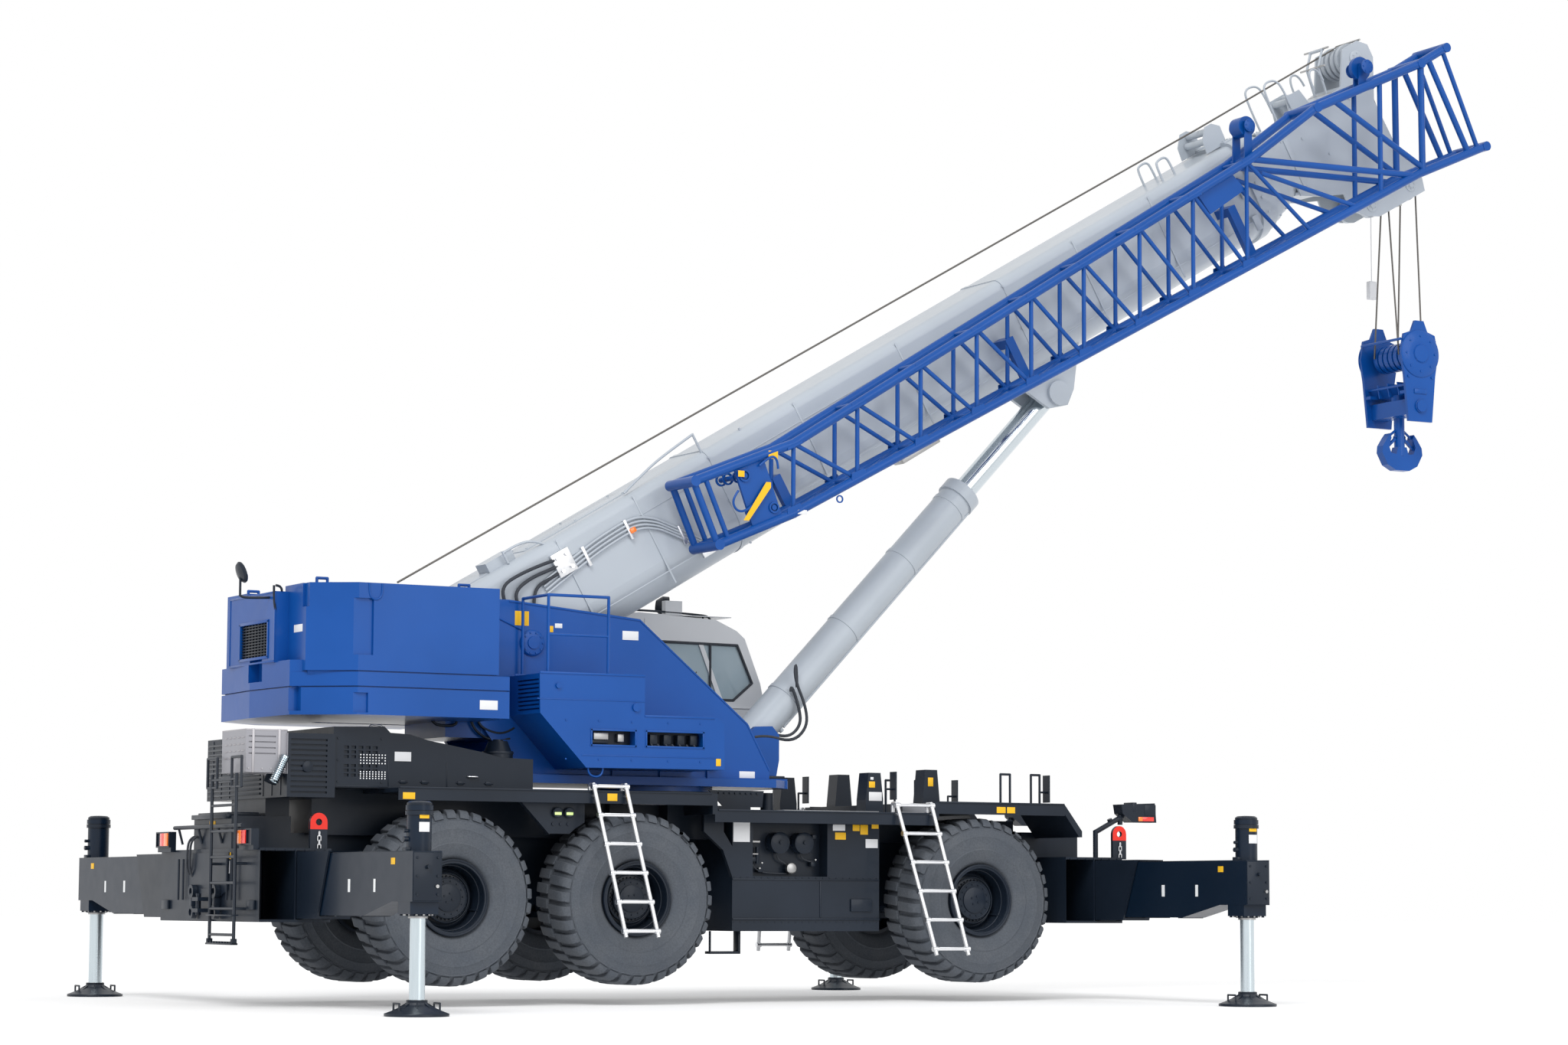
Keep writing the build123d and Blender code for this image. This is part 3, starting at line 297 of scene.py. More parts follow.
FINISH = {
    "blue_paint": paint("blue_paint", BLUE),
    "boom_paint": paint("boom_paint", BOOM_GREY, 0.32, 0.15, 0.04, 0.03),
    "cab_paint": two_paints("cab_paint", (0.64, 0.66, 0.69), BLUE, cab_skirt, 0.32),
    "black_paint": paint("black_paint", BLACK, 0.38, 0.10, 0.08, 0.15),
    "hood_paint": two_paints("hood_paint", BLACK, (0.33, 0.33, 0.36), silencer_part, 0.42),
    "ladder_metal": ladder_metal("ladder_metal"),
    "beam_paint": two_paints("beam_paint", (0.003, 0.011, 0.026), (0.85, 0.87, 0.88), beam_marks),
    "deck_paint": paint("deck_paint", (0.052, 0.068, 0.100), 0.6, 0.1, 0.2, 0.1),
    "panel_grey": paint("panel_grey", (0.36, 0.37, 0.39), 0.5, 0.1, 0.1, 0.05),
    "silencer_steel": metal("silencer_steel", (0.46, 0.45, 0.47), 0.5, (1.0, 1.0, 6.0)),
    "red_paint": paint("red_paint", (0.80, 0.03, 0.018), 0.35, 0.15),
    "yellow_board": paint("yellow_board", (0.88, 0.50, 0.02), 0.5, 0.1, 0.05, 0.03),
    "white_board": paint("white_board", (0.78, 0.79, 0.81), 0.5, 0.1, 0.05, 0.03),
    "lamp_orange": lens("lamp_orange", (0.95, 0.20, 0.01), 0.25),
    "lamp_red": lens("lamp_red", (0.80, 0.02, 0.01), 0.2),
    "lamp_green": lens("lamp_green", (0.75, 0.95, 0.35), 0.4),
    "tyre": rubber("tyre", RUBBER),
    "rubber_hose": rubber("rubber_hose", (0.035, 0.040, 0.050), 0.1),
    "chrome": metal("chrome", (0.62, 0.68, 0.72), 0.12),
    "jack_metal": jack_metal("jack_metal"),
    "steel": metal("steel", (0.42, 0.42, 0.42), 0.38),
    "zinc": metal("zinc", (0.80, 0.81, 0.83), 0.30, (1.0, 1.0, 0.1)),
    "mirror": metal("mirror", (0.86, 0.88, 0.90), 0.05, scratch=0.02),
    "wire_rope": metal("wire_rope", (0.16, 0.15, 0.14), 0.5),
    "seat_fabric": rubber("seat_fabric", (0.03, 0.03, 0.035), 0.0),
    "window_glass": glass("window_glass", (0.42, 0.53, 0.60), 0.62),
}
CAD_FINISH = (
    ("tyre", "tyre"), ("rim", "black_paint"), ("rope", "wire_rope"), ("jack", "jack_metal"), ("lift_rod", "chrome"),
    ("lift_piston", "chrome"), ("boom_foot_pin", "steel"), ("lift_foot_pin", "steel"), ("lift_barrel", "boom_paint"),
    ("boom", "boom_paint"), ("head_sheaves", "boom_paint"), ("jib", "blue_paint"), ("hook", "blue_paint"),
    ("cab_seat", "seat_fabric"), ("cab_glass", "window_glass"), ("door_glass", "window_glass"), ("cab", "cab_paint"),
    ("winch", "black_paint"), ("turntable", "blue_paint"), ("counterweight", "blue_paint"), ("ladders", "ladder_metal"),
    ("engine_hood", "hood_paint"), ("beam", "beam_paint"), ("", "black_paint"),
)
for name, obj in NODES.items():
    finish = next(f for start, f in CAD_FINISH if name.startswith(start))
    obj.data.materials.clear()
    obj.data.materials.append(FINISH[finish])

# ---------------------------------------------------------------- mesh work

TURN = 2 * math.pi
CARRIER = Matrix.Translation((-6.06, 0.0, 0.0))             # x from the rear axle
BOOM = Matrix.Translation((-4.76, 0.0, 3.96)) @ Matrix.Rotation(math.radians(-30.2), 4, "Y")
AXLES = {"rear": 0.0, "middle": 2.19, "front": 6.607}
BOXES = {"rear": -1.786, "front": 8.18}
SIDES = (("right", -1), ("left", 1))
HUB_Z = 1.154
TRACK = 1.1775


class Shape:
    """A mesh in the making, measured in a frame of its own."""

    def __init__(self, frame=CARRIER):
        self.bm = bmesh.new()
        self.frame = frame

    def block(self, x, y, z, bevel=0.0):
        """A box over three ranges."""
        ranges = [sorted(r) for r in (x, y, z)]
        middle = Matrix.Translation([(a + b) / 2 for a, b in ranges])
        size = Matrix.Diagonal([b - a for a, b in ranges] + [1.0])
        verts = bmesh.ops.create_cube(self.bm, size=1.0, matrix=self.frame @ middle @ size)["verts"]
        if bevel:
            edges = list({e for v in verts for e in v.link_edges})
            bmesh.ops.bevel(self.bm, geom=edges, offset=bevel, segments=2, profile=0.5, affect="EDGES", material=-1)
        return self

    def rod(self, a, b, r, sides=12, end=None):
        """A round bar, or a cone with another radius at its end."""
        a, b = Vector(a), Vector(b)
        turn = (b - a).to_track_quat("Z", "Y").to_matrix().to_4x4()
        bmesh.ops.create_cone(self.bm, cap_ends=True, segments=sides, radius1=r, radius2=r if end is None else end,
                              depth=(b - a).length, matrix=self.frame @ Matrix.Translation((a + b) / 2) @ turn)
        return self

    def ball(self, at, r, sides=12):
        bmesh.ops.create_uvsphere(self.bm, u_segments=sides, v_segments=sides // 2, radius=r,
                                  matrix=self.frame @ Matrix.Translation(at))
        return self

    def lathe(self, at, axis, profile, steps=32):
        """(radius, height) points spun about an axis."""
        turn = Vector(axis).to_track_quat("Z", "Y").to_matrix().to_4x4()
        place = self.frame @ Matrix.Translation(at) @ turn
        verts = [self.bm.verts.new(place @ Vector((r, 0.0, h))) for r, h in profile]
        edges = [self.bm.edges.new(pair) for pair in zip(verts, verts[1:])]
        bmesh.ops.spin(self.bm, geom=verts + edges, cent=place.translation, axis=place.col[2].xyz, angle=TURN,
                       steps=steps, use_merge=True)
        return self

    def plate(self, points, thick):
        """A flat outline made solid along a vector."""
        face = self.bm.faces.new([self.bm.verts.new(self.frame @ Vector(p)) for p in points])
        made = bmesh.ops.extrude_face_region(self.bm, geom=[face])["geom"]
        moved = [v for v in made if isinstance(v, bmesh.types.BMVert)]
        bmesh.ops.translate(self.bm, verts=moved, vec=self.frame.to_3x3() @ Vector(thick))
        return self

    def bolts(self, at, axis, reach, count, r, length, sides=6):
        """A ring of bolt heads."""
        turn = Vector(axis).to_track_quat("Z", "Y").to_matrix().to_4x4()
        for i in range(count):
            a = TURN * i / count
            spot = Matrix.Translation((reach * math.cos(a), reach * math.sin(a), length / 2))
            bmesh.ops.create_cone(self.bm, cap_ends=True, segments=sides, radius1=r, radius2=r, depth=length,
                                  matrix=self.frame @ Matrix.Translation(at) @ turn @ spot)
        return self

    def stud(self, at, axis, r, length, sides=6):
        """One bolt head."""
        return self.bolts(at, axis, 0.0, 1, r, length, sides)

    def blocks(self, *rows):
        """Boxes, each row as block takes it."""
        for row in rows:
            self.block(*row)
        return self

    def rods(self, *rows):
        """Bars, each row as rod takes it."""
        for row in rows:
            self.rod(*row)
        return self

    def hoop(self, at, axis, radii, heights, steps=32):
        """A ring of square section."""
        (a, b), (low, high) = radii, heights
        return self.lathe(at, axis, [(a, low), (b, low), (b, high), (a, high), (a, low)], steps)

    def mesh(self, name, sharp=35.0):
        bmesh.ops.remove_doubles(self.bm, verts=self.bm.verts, dist=0.00002)
        bmesh.ops.recalc_face_normals(self.bm, faces=self.bm.faces)
        mesh = bpy.data.meshes.new(name)
        self.bm.to_mesh(mesh)
        self.bm.free()
        for face in mesh.polygons:
            face.use_smooth = True
        mesh.set_sharp_from_angle(angle=math.radians(sharp))
        return mesh

    def done(self, name, finish, body, sharp=35.0):
        return show(name, self.mesh(name, sharp), finish, body)


def show(name, mesh, finish, body):
    """Puts a mesh in the scene as a piece that goes with a body."""
    piece = bpy.data.objects.new(name, mesh)
    piece.data.materials.append(FINISH[finish])
    bpy.context.scene.collection.objects.link(piece)
    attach(piece, body)
    return piece


def pipes(name, routes, r, finish, body, frame=CARRIER):
    """Bent pipes and hoses, each along its own few points."""
    curve = bpy.data.curves.new(name, "CURVE")
    curve.dimensions = "3D"
    curve.bevel_depth = r
    curve.bevel_resolution = 2
    curve.resolution_u = 5
    curve.use_fill_caps = True
    for route in routes:
        spline = curve.splines.new("NURBS")
        spline.points.add(len(route) - 1)
        for point, co in zip(spline.points, route):
            point.co = (*(frame @ Vector(co)), 1.0)
        spline.order_u = 3
        spline.use_endpoint_u = True
    drawn = bpy.data.objects.new(name + "_line", curve)
    mesh = bpy.data.meshes.new_from_object(drawn)
    bpy.data.objects.remove(drawn)
    mesh.materials.clear()
    for face in mesh.polygons:
        face.use_smooth = True
    return show(name, mesh, finish, body)


def boards(name, finish, body, rows, frame=CARRIER, thick=0.003):
    """Thin bare plates. A row is the outward side, the plane's place, and two ranges in it."""
    shape = Shape(frame)
    for side, level, first, second in rows:
        depth = (level, level + (thick if side[0] == "+" else -thick))
        ranges = {"x": (depth, first, second), "y": (first, depth, second), "z": (first, second, depth)}[side[1]]
        shape.block(*ranges, 0.0008)
    return shape.done(name, finish, body)


# ---------------------------------------------------------------- wheels

LUG_COUNT = 36


def tyre_mesh():
    """A block-treaded tyre about the Y axis."""
    shape = Shape(Matrix())
    half = [(0.4068, 0.262), (0.428, 0.29), (0.452, 0.318), (0.47, 0.326), (0.5, 0.345), (0.56, 0.364),
            (0.575, 0.372), (0.59, 0.366), (0.65, 0.374), (0.715, 0.373), (0.728, 0.379), (0.742, 0.372),
            (0.785, 0.367), (0.815, 0.36), (0.826, 0.364), (0.838, 0.352), (0.87, 0.322), (0.893, 0.27),
            (0.902, 0.12)]
    outline = [(r, -y) for r, y in half] + [(r, y) for r, y in reversed(half)]
    shape.lathe((0, 0, 0), (0, 1, 0), outline + outline[:1], 80)
    bm = shape.bm
    lug = bmesh.new()
    row = [(0.012, 0.898), (0.012, 0.9372), (0.25, 0.9368), (0.312, 0.921), (0.352, 0.886), (0.369, 0.842),
           (0.35, 0.842), (0.3, 0.885)]
    face = lug.faces.new([lug.verts.new((-0.052, y, r)) for y, r in row])
    made = bmesh.ops.extrude_face_region(lug, geom=[face])["geom"]
    bmesh.ops.translate(lug, verts=[v for v in made if isinstance(v, bmesh.types.BMVert)], vec=(0.104, 0, 0))
    bmesh.ops.recalc_face_normals(lug, faces=lug.faces)
    edges = [e for e in lug.edges if all(v.co.z > 0.88 for v in e.verts)]
    bmesh.ops.bevel(lug, geom=edges, offset=0.007, segments=1, profile=0.5, affect="EDGES", material=-1)
    for v in lug.verts:
        v.co.x += 0.1 * (v.co.y - 0.16)
    block = bpy.data.meshes.new("lug")
    lug.to_mesh(block)
    lug.free()
    for i in range(LUG_COUNT):
        for side in (0, 1):
            start = len(bm.verts)
            bm.from_mesh(block)
            bm.verts.ensure_lookup_table()
            angle = TURN * (i + 0.5 * side) / LUG_COUNT
            turn = Matrix.Rotation(angle, 4, "Y") @ Matrix.Rotation(math.pi * side, 4, "Z")
            bmesh.ops.transform(bm, matrix=turn, verts=bm.verts[start:])
    bpy.data.meshes.remove(block)
    return shape.mesh("tyre_form", 28.0)


def rim_mesh():
    """Flange and lock rings, the bolted rings of the hub and its cap, with the outer face at -Y."""
    shape = Shape(Matrix())
    rings = ((0.398, -0.312, 0.013), (0.372, -0.3, 0.01), (0.348, -0.205, 0.009), (0.3, -0.062, 0.012),
             (0.262, -0.128, 0.009), (0.214, -0.166, 0.009))
    for reach, y, r in rings:
        shape.lathe((0, y, 0), (0, 1, 0), [(reach + r * math.cos(a), r * math.sin(a)) for a in
                                           (i * TURN / 8 for i in range(9))], 64)
    shape.lathe((0, 0, 0), (0, -1, 0), [(0.336, 0.035), (0.3, 0.062), (0.258, 0.07), (0.255, 0.118),
                                        (0.205, 0.125), (0.2052, 0.02), (0.336, 0.02), (0.336, 0.035)], 64)
    shape.lathe((0, 0, 0), (0, -1, 0), [(0.15, 0.165), (0.148, 0.183), (0.128, 0.19), (0.0, 0.19)], 48)
    shape.bolts((0, -0.118, 0), (0, -1, 0), 0.232, 32, 0.0085, 0.028)
    shape.bolts((0, -0.168, 0), (0, -1, 0), 0.178, 14, 0.008, 0.016)
    shape.bolts((0, -0.188, 0), (0, -1, 0), 0.05, 4, 0.011, 0.014)
    shape.rod((0.315, -0.06, 0.0), (0.352, -0.23, 0.0), 0.008, 8)
    return shape.mesh("rim_form", 30.0)


TYRE = tyre_mesh()
RIM = rim_mesh()
for where, axle in AXLES.items():
    for tag, side in SIDES:
        turn = Matrix.Rotation(math.radians(7.0 * len(where) + 5 * side), 4, "Y")
        place = CARRIER @ Matrix.Translation((axle, side * TRACK, HUB_Z)) @ Matrix.Rotation(
            math.pi if side > 0 else 0.0, 4, "Z") @ turn
        tyre = TYRE.copy()
        tyre.transform(place)
        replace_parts(show(f"tread_{where}_{tag}", tyre, "tyre", f"wheel_{where}_{tag}"), f"tyre_{where}_{tag}")
        rim = RIM.copy()
        rim.transform(place)
        show(f"rim_trim_{where}_{tag}", rim, "black_paint", f"wheel_{where}_{tag}")

# ---------------------------------------------------------------- carrier
TANK_Y, CHAIN_Y, LAMP_BOX_Y = 1.24, 1.432, 1.11
boards("carrier_yellow_boards", "yellow_board", "chassis", (
    ("-y", -1.5, (-0.6, -0.46), (2.19, 2.26)), ("-y", -1.5, (1.81, 1.93), (2.21, 2.29)),
    ("-y", -1.5, (6.82, 6.94), (2.155, 2.225)), ("-y", -1.5, (6.96, 7.07), (2.155, 2.225)),
    ("-y", -TANK_Y, (4.82, 4.96), (1.83, 1.91)), ("-y", -TANK_Y, (5.05, 5.14), (1.93, 2.00)),
    ("-y", -TANK_Y, (5.15, 5.25), (1.89, 2.00)), ("-y", -TANK_Y, (5.3, 5.39), (1.96, 2.04)),
    ("-x", -2.181, (-0.44, -0.64), (1.55, 1.62)), ("-x", -2.15, (0.09, -0.09), (1.88, 1.96)),
))
boards("carrier_white_boards", "white_board", "chassis", (
    ("-y", -TANK_Y, (3.51, 3.72), (1.79, 2.02)), ("-y", -TANK_Y, (4.79, 4.95), (1.93, 2.00)),
    ("-y", -TANK_Y, (5.22, 5.38), (1.74, 1.84)), ("-x", -2.181, (-0.31, -0.62), (1.4, 1.53)),
    ("-y", -1.15, (-0.55, -0.36), (2.6, 2.7)),
))
for tag, side in SIDES:
    out = "-y" if side < 0 else "+y"
    boards(f"bollard_yellow_{tag}", "yellow_board", "chassis", (
        (out, side * LAMP_BOX_Y, (5.34, 5.42), (2.43, 2.5)), (out, side * LAMP_BOX_Y, (6.13, 6.2), (2.46, 2.56))))
    boards(f"bollard_white_{tag}", "white_board", "chassis", (
        (out, side * LAMP_BOX_Y, (5.34, 5.51), (2.28, 2.38)), (out, side * LAMP_BOX_Y, (5.36, 5.4), (2.52, 2.55))))

deck = Shape()
for x0, x1, z in ((1.1, 3.05, 2.31), (3.22, 3.62, 2.13), (6.24, 6.86, 2.265), (7.00, 7.7, 2.265)):
    for y0, y1 in ((-1.45, -0.86), (0.86, 1.45)):
        deck.block((x0, x1), (y0, y1), (z, z + 0.006), 0.002)
deck.done("deck_panels", "deck_paint", "chassis")
tread = Shape()
for x0, x1, z in ((1.12, 3.03, 2.316), (6.26, 6.84, 2.271), (7.02, 7.68, 2.271)):
    for i in range(int((x1 - x0) / 0.075)):
        for j in range(7):
            for y0 in (-1.43, 0.88):
                x = x0 + 0.04 + 0.075 * i
                y = y0 + 0.04 + 0.08 * j
                skew = 0.02 if (i + j) % 2 else -0.02
                tread.plate([(x - 0.018, y - skew - 0.004, z), (x + 0.018, y + skew - 0.004, z),
                             (x + 0.018, y + skew + 0.004, z), (x - 0.018, y - skew + 0.004, z)], (0, 0, 0.002))
tread.done("deck_tread", "deck_paint", "chassis")
light = Shape()
for x0, x1 in ((4.05, 5.28), (5.58, 5.94)):
    light.block((x0, x1), (-1.44, -1.12), (2.13, 2.15), 0.004)
    light.block((x0, x1), (1.12, 1.44), (2.13, 2.15), 0.004)
light.block((5.9, 5.978), (-1.44, -0.92), (2.15, 2.235), 0.004)
light.done("deck_light_panels", "panel_grey", "chassis")

trim = Shape()
for tag, side in SIDES:
    y = side * 1.5
    for x0, x1, z in ((-0.64, 3.1, 2.312), (3.18, 5.97, 2.132), (6.05, 7.75, 2.267)):
        trim.block((x0, x1), (y - 0.012, y + 0.004), (z - 0.008, z + 0.01), 0.002)
    for i in range(22):
        trim.stud((3.52 + 0.088 * i, side * TANK_Y, 1.395), (0, side, 0), 0.008, 0.006)
        trim.stud((3.52 + 0.088 * i, side * TANK_Y, 0.9), (0, side, 0), 0.007, 0.005)
    trim.blocks(
        ((3.5, 5.4), (side * TANK_Y, side * 1.252), (1.368, 1.384), 0.003),
        ((3.5, 5.4), (side * TANK_Y, side * 1.258), (0.925, 0.945), 0.003),
        ((4.62, 4.64), (side * TANK_Y, side * 1.247), (0.95, 1.36), 0.002),
        ((5.02, 5.3), (side * TANK_Y, side * 1.262), (1.02, 1.16), 0.006),
        ((3.34, 3.36), (side * 0.99, side * 1.01), (0.56, 0.8)),
        ((3.7, 3.73), (side * 0.9, side * 1.02), (0.56, 0.8), 0.004),
        ((3.34, 3.73), (side * 0.9, side * 1.02), (0.545, 0.575), 0.004))
    for x in BOXES.values():
        for i in range(7):
            trim.stud((x - 0.33 + 0.11 * i, side * 1.48, 1.64), (0, side, 0), 0.012, 0.01)
trim.done("carrier_trim", "black_paint", "chassis")

ring = Shape()
ring.hoop((3.1, 0, 0), (0, 0, 1), (0.735, 0.775), (2.2005, 2.235), 72)
ring.bolts((3.1, 0, 2.235), (0, 0, 1), 0.755, 48, 0.014, 0.022)
ring.done("slewing_ring", "steel", "chassis")

locker = Shape()
for x in (4.13, 4.44):
    locker.lathe((x, -1.205, 1.785), (0, -1, 0), [(0.121, -0.01), (0.121, 0.004), (0.105, 0.012), (0.03, 0.014),
                                                  (0.0, 0.014)], 32)
    locker.rod((x - 0.115, -1.2, 1.79), (x + 0.115, -1.2, 1.79), 0.006, 8)
    locker.stud((x, -1.205, 1.79), (0, -1, 0), 0.022, 0.03)
locker.rod((3.8, -1.1, 1.62), (3.8, -1.1, 1.98), 0.03, 12)
locker.rod((3.88, -1.12, 1.55), (3.88, -1.12, 1.74), 0.022, 12)
for x, z in ((3.84, 1.6), (3.92, 1.48), (4.6, 1.55), (4.55, 1.7), (4.62, 1.86)):
    locker.block((x - 0.03, x + 0.03), (-1.13, -1.065), (z - 0.025, z + 0.025), 0.006)
locker.done("locker_fittings", "black_paint", "chassis")
bright = Shape()
bright.lathe((4.3, -1.15, 1.5), (0, -1, 0), [(0.062, -0.02), (0.062, 0.02), (0.045, 0.03), (0.0, 0.03)], 24)
bright.rod((3.78, -1.135, 1.8), (3.9, -1.135, 1.8), 0.018, 10)
bright.rod((3.78, -1.135, 1.66), (3.88, -1.135, 1.66), 0.012, 10)
for x, z in ((3.93, 1.56), (3.9, 1.5), (4.62, 1.6)):
    bright.stud((x, -1.13, z), (0, -1, 0), 0.011, 0.02)
bright.done("locker_bright_parts", "steel", "chassis")
pipes("locker_pipes", (
    ((3.8, -1.1, 1.64), (3.8, -1.12, 1.55), (3.9, -1.12, 1.46), (4.1, -1.1, 1.44), (4.3, -1.1, 1.44)),
    ((4.13, -1.1, 1.68), (4.14, -1.12, 1.6), (4.24, -1.12, 1.56), (4.3, -1.1, 1.52)),
    ((4.44, -1.1, 1.68), (4.44, -1.12, 1.62), (4.55, -1.12, 1.58), (4.62, -1.1, 1.58)),
), 0.009, "rubber_hose", "chassis")

for tag, side in SIDES:
    green = Shape()
    lamp = Shape()
    for x in (1.28, 1.42):
        green.block((x - 0.04, x + 0.04), (side * 1.3725, side * 1.3775), (2.052, 2.082), 0.004)
        lamp.lathe((x, side * 1.33, 2.08), (0, side, 0), [(0.058, 0.0), (0.058, 0.04), (0.05, 0.046),
                                                          (0.04, 0.043), (0.0, 0.043)], 24)
    for x in (1.24, 1.33, 1.42):
        lamp.stud((x, side * 1.33, 1.955), (0, side, 0), 0.02, 0.012)
    lamp.done(f"shelf_lamp_rims_{tag}", "black_paint", "chassis")
    green.done(f"shelf_lamp_glass_{tag}", "lamp_green", "chassis")
    tail_x = -2.266
    orange = Shape().block((tail_x - 0.012, tail_x + 0.006), (side * 1.055, side * 1.165), (1.705, 1.845), 0.005)
    red = Shape().block((tail_x - 0.012, tail_x + 0.006), (side * 1.165, side * 1.285), (1.705, 1.845), 0.005)
    red.plate([(-2.184, side * 1.325, 1.77), (-2.184, side * 1.375, 1.835), (-2.184, side * 1.425, 1.77),
               (-2.184, side * 1.375, 1.705)], (-0.012, 0, 0))
    red.block((9.00, 9.16), (side * 1.29, side * 1.297), (2.095, 2.145), 0.003)
    orange.block((8.94, 9.00), (side * 1.29, side * 1.297), (2.095, 2.145), 0.003)
    orange.done(f"tail_orange_{tag}", "lamp_orange", "chassis")
    red.done(f"tail_red_{tag}", "lamp_red", "chassis")

red_lugs = Shape()
chains = Shape()
for x in (-1.51, 8.58):
    for tag, side in SIDES:
        inner, outer = side * 1.3795, side * 1.4205
        for y in (inner, outer):
            face = [(x - 0.096, y, 1.86)] + [(x + 0.096 * math.cos(a), y, 1.935 + 0.096 * math.sin(a)) for a in
                                             (math.pi - i * math.pi / 10 for i in range(11))] + [(x + 0.096, y, 1.86)]
            hole = [(x + 0.0352 * math.cos(a), y, 1.935 + 0.0352 * math.sin(a)) for a in
                    (i * TURN / 20 for i in range(20))]
            rim = [red_lugs.bm.verts.new(CARRIER @ Vector(p)) for p in face]
            eye = [red_lugs.bm.verts.new(CARRIER @ Vector(p)) for p in hole]
            edges = [red_lugs.bm.edges.new((a, b)) for loop in (rim, eye) for a, b in zip(loop, loop[1:] + loop[:1])]
            bmesh.ops.triangle_fill(red_lugs.bm, edges=edges, use_beauty=True)
        for i in range(4):
            z = 1.835 - 0.045 * i
            wide = 0.018 if i % 2 else 0.006
            chains.rods(
                ((x - wide, side * CHAIN_Y, z), (x - wide, side * CHAIN_Y, z - 0.05), 0.006, 8),
                ((x + wide, side * CHAIN_Y, z), (x + wide, side * CHAIN_Y, z - 0.05), 0.006, 8),
                ((x - wide, side * CHAIN_Y, z), (x + wide, side * CHAIN_Y, z), 0.006, 8))
red_lugs.done("lug_red_faces", "red_paint", "chassis")
chains.done("lug_chains", "zinc", "chassis")

fronts = Shape()
for tag, side in SIDES:
    fronts.block((8.86, 8.92), (side * 1.1, side * 1.292), (2.2, 2.316), 0.006)
    fronts.rod((8.74, side * 1.2, 2.17), (8.74, side * 1.2, 2.05), 0.03, 12)
    fronts.block((9.03, 9.19), (side * 1.288, side * 1.294), (2.16, 2.29), 0.004)
    fronts.stud((8.6, side * 1.2, 2.09), (-0.4, 0, 0.9), 0.03, 0.03, 12)
fronts.done("front_lamp_fittings", "black_paint", "chassis")

TAIL_X = -2.182
tail = Shape()
outline = ((-0.62, 1.62), (0.62, 1.62), (0.58, 1.22), (0.2, 1.1), (-0.2, 1.1), (-0.58, 1.22))
tail.plate([(TAIL_X, y, z) for y, z in outline], (-0.016, 0, 0))
for y in (-0.34, 0.34):
    for dz in (0.0, 0.22):
        eye = [(0.075, -0.028), (0.075, 0.028), (0.04, 0.028), (0.04, -0.028), (0.075, -0.028)]
        tail.lathe((TAIL_X - 0.05, y, 0.99 + dz), (1, 0, 0), eye, 20)
    tail.block((TAIL_X - 0.075, TAIL_X), (y - 0.03, y + 0.03), (1.02, 1.19), 0.006)
for y in (-1.28, 1.28):
    tail.block((TAIL_X - 0.03, TAIL_X), (y - 0.1, y + 0.1), (1.02, 1.12), 0.008)
tail.rod((TAIL_X - 0.02, -1.02, 1.9), (TAIL_X - 0.02, 1.02, 1.9), 0.022, 10)
for y in (-0.9, -0.3, 0.3, 0.9):
    tail.rod((TAIL_X - 0.02, y, 1.9), (TAIL_X + 0.03, y, 1.72), 0.014, 8)
for y in (-0.8, -0.66, 0.66, 0.8):
    tail.rod((TAIL_X - 0.045, y, 1.12), (TAIL_X - 0.045, y, 1.56), 0.012, 8)
tail.block((-2.15, -1.8), (-0.45, 0.45), (2.01, 2.05), 0.008)
tail.block((-2.2, -2.14), (-0.52, 0.52), (1.98, 2.03), 0.006)
tail.done("tail_fittings", "black_paint", "chassis")
pipes("tail_hoses", (
    ((-2.16, 0.5, 1.8), (-2.23, 0.5, 1.78), (-2.24, 0.52, 1.6), (-2.23, 0.55, 1.42), (-2.16, 0.56, 1.36)),
    ((-2.16, 0.42, 1.8), (-2.23, 0.42, 1.78), (-2.24, 0.44, 1.58), (-2.23, 0.46, 1.4), (-2.16, 0.46, 1.34)),
), 0.013, "rubber_hose", "chassis")

foot = Shape()
for y in (-0.38, -1.09):
    foot.block((-2.335, -2.275), (y - 0.02, y + 0.02), (0.66, 0.72), 0.004)
foot.block((-2.345, -2.265), (-0.36, -1.11), (0.655, 0.675), 0.004)
foot.block((-2.345, -2.265), (-0.36, -1.11), (0.955, 0.97), 0.004)
for i in range(9):
    y = -0.42 - 0.08 * i
    foot.block((-2.342, -2.268), (y - 0.008, y + 0.008), (0.675, 0.69))
foot.done("tail_step", "black_paint", "chassis")

links = Shape()
for tag, side in SIDES:
    for top, foot_x, z1, z0, y0 in (((1.63, 2.02), (1.8, 2.19), 2.38, 0.74, 2.0),
                                    ((5.46, 5.92), (5.66, 6.08), 2.24, 0.54, 2.07)):
        for f in (0.01, 0.2, 0.39, 0.58, 0.77, 0.96):
            y = side * (1.526 + (y0 - 1.526) * f)
            z = z1 + (z0 - z1) * f
            ends = [a + (b - a) * f for a, b in zip(top, foot_x)]
            for x in ends:
                links.rod((x - 0.03, y, z), (x + 0.03, y, z), 0.031, 12)
            links.block((ends[0] + 0.04, ends[1] - 0.04), (y - 0.024, y + 0.024), (z + 0.014, z + 0.021), 0.002)
        for x in top:
            links.rod((x, side * 1.49, z1 - 0.12), (x, side * 1.56, z1 - 0.12), 0.014, 10)
links.done("ladder_sockets", "zinc", "chassis")

# ---------------------------------------------------------------- outriggers

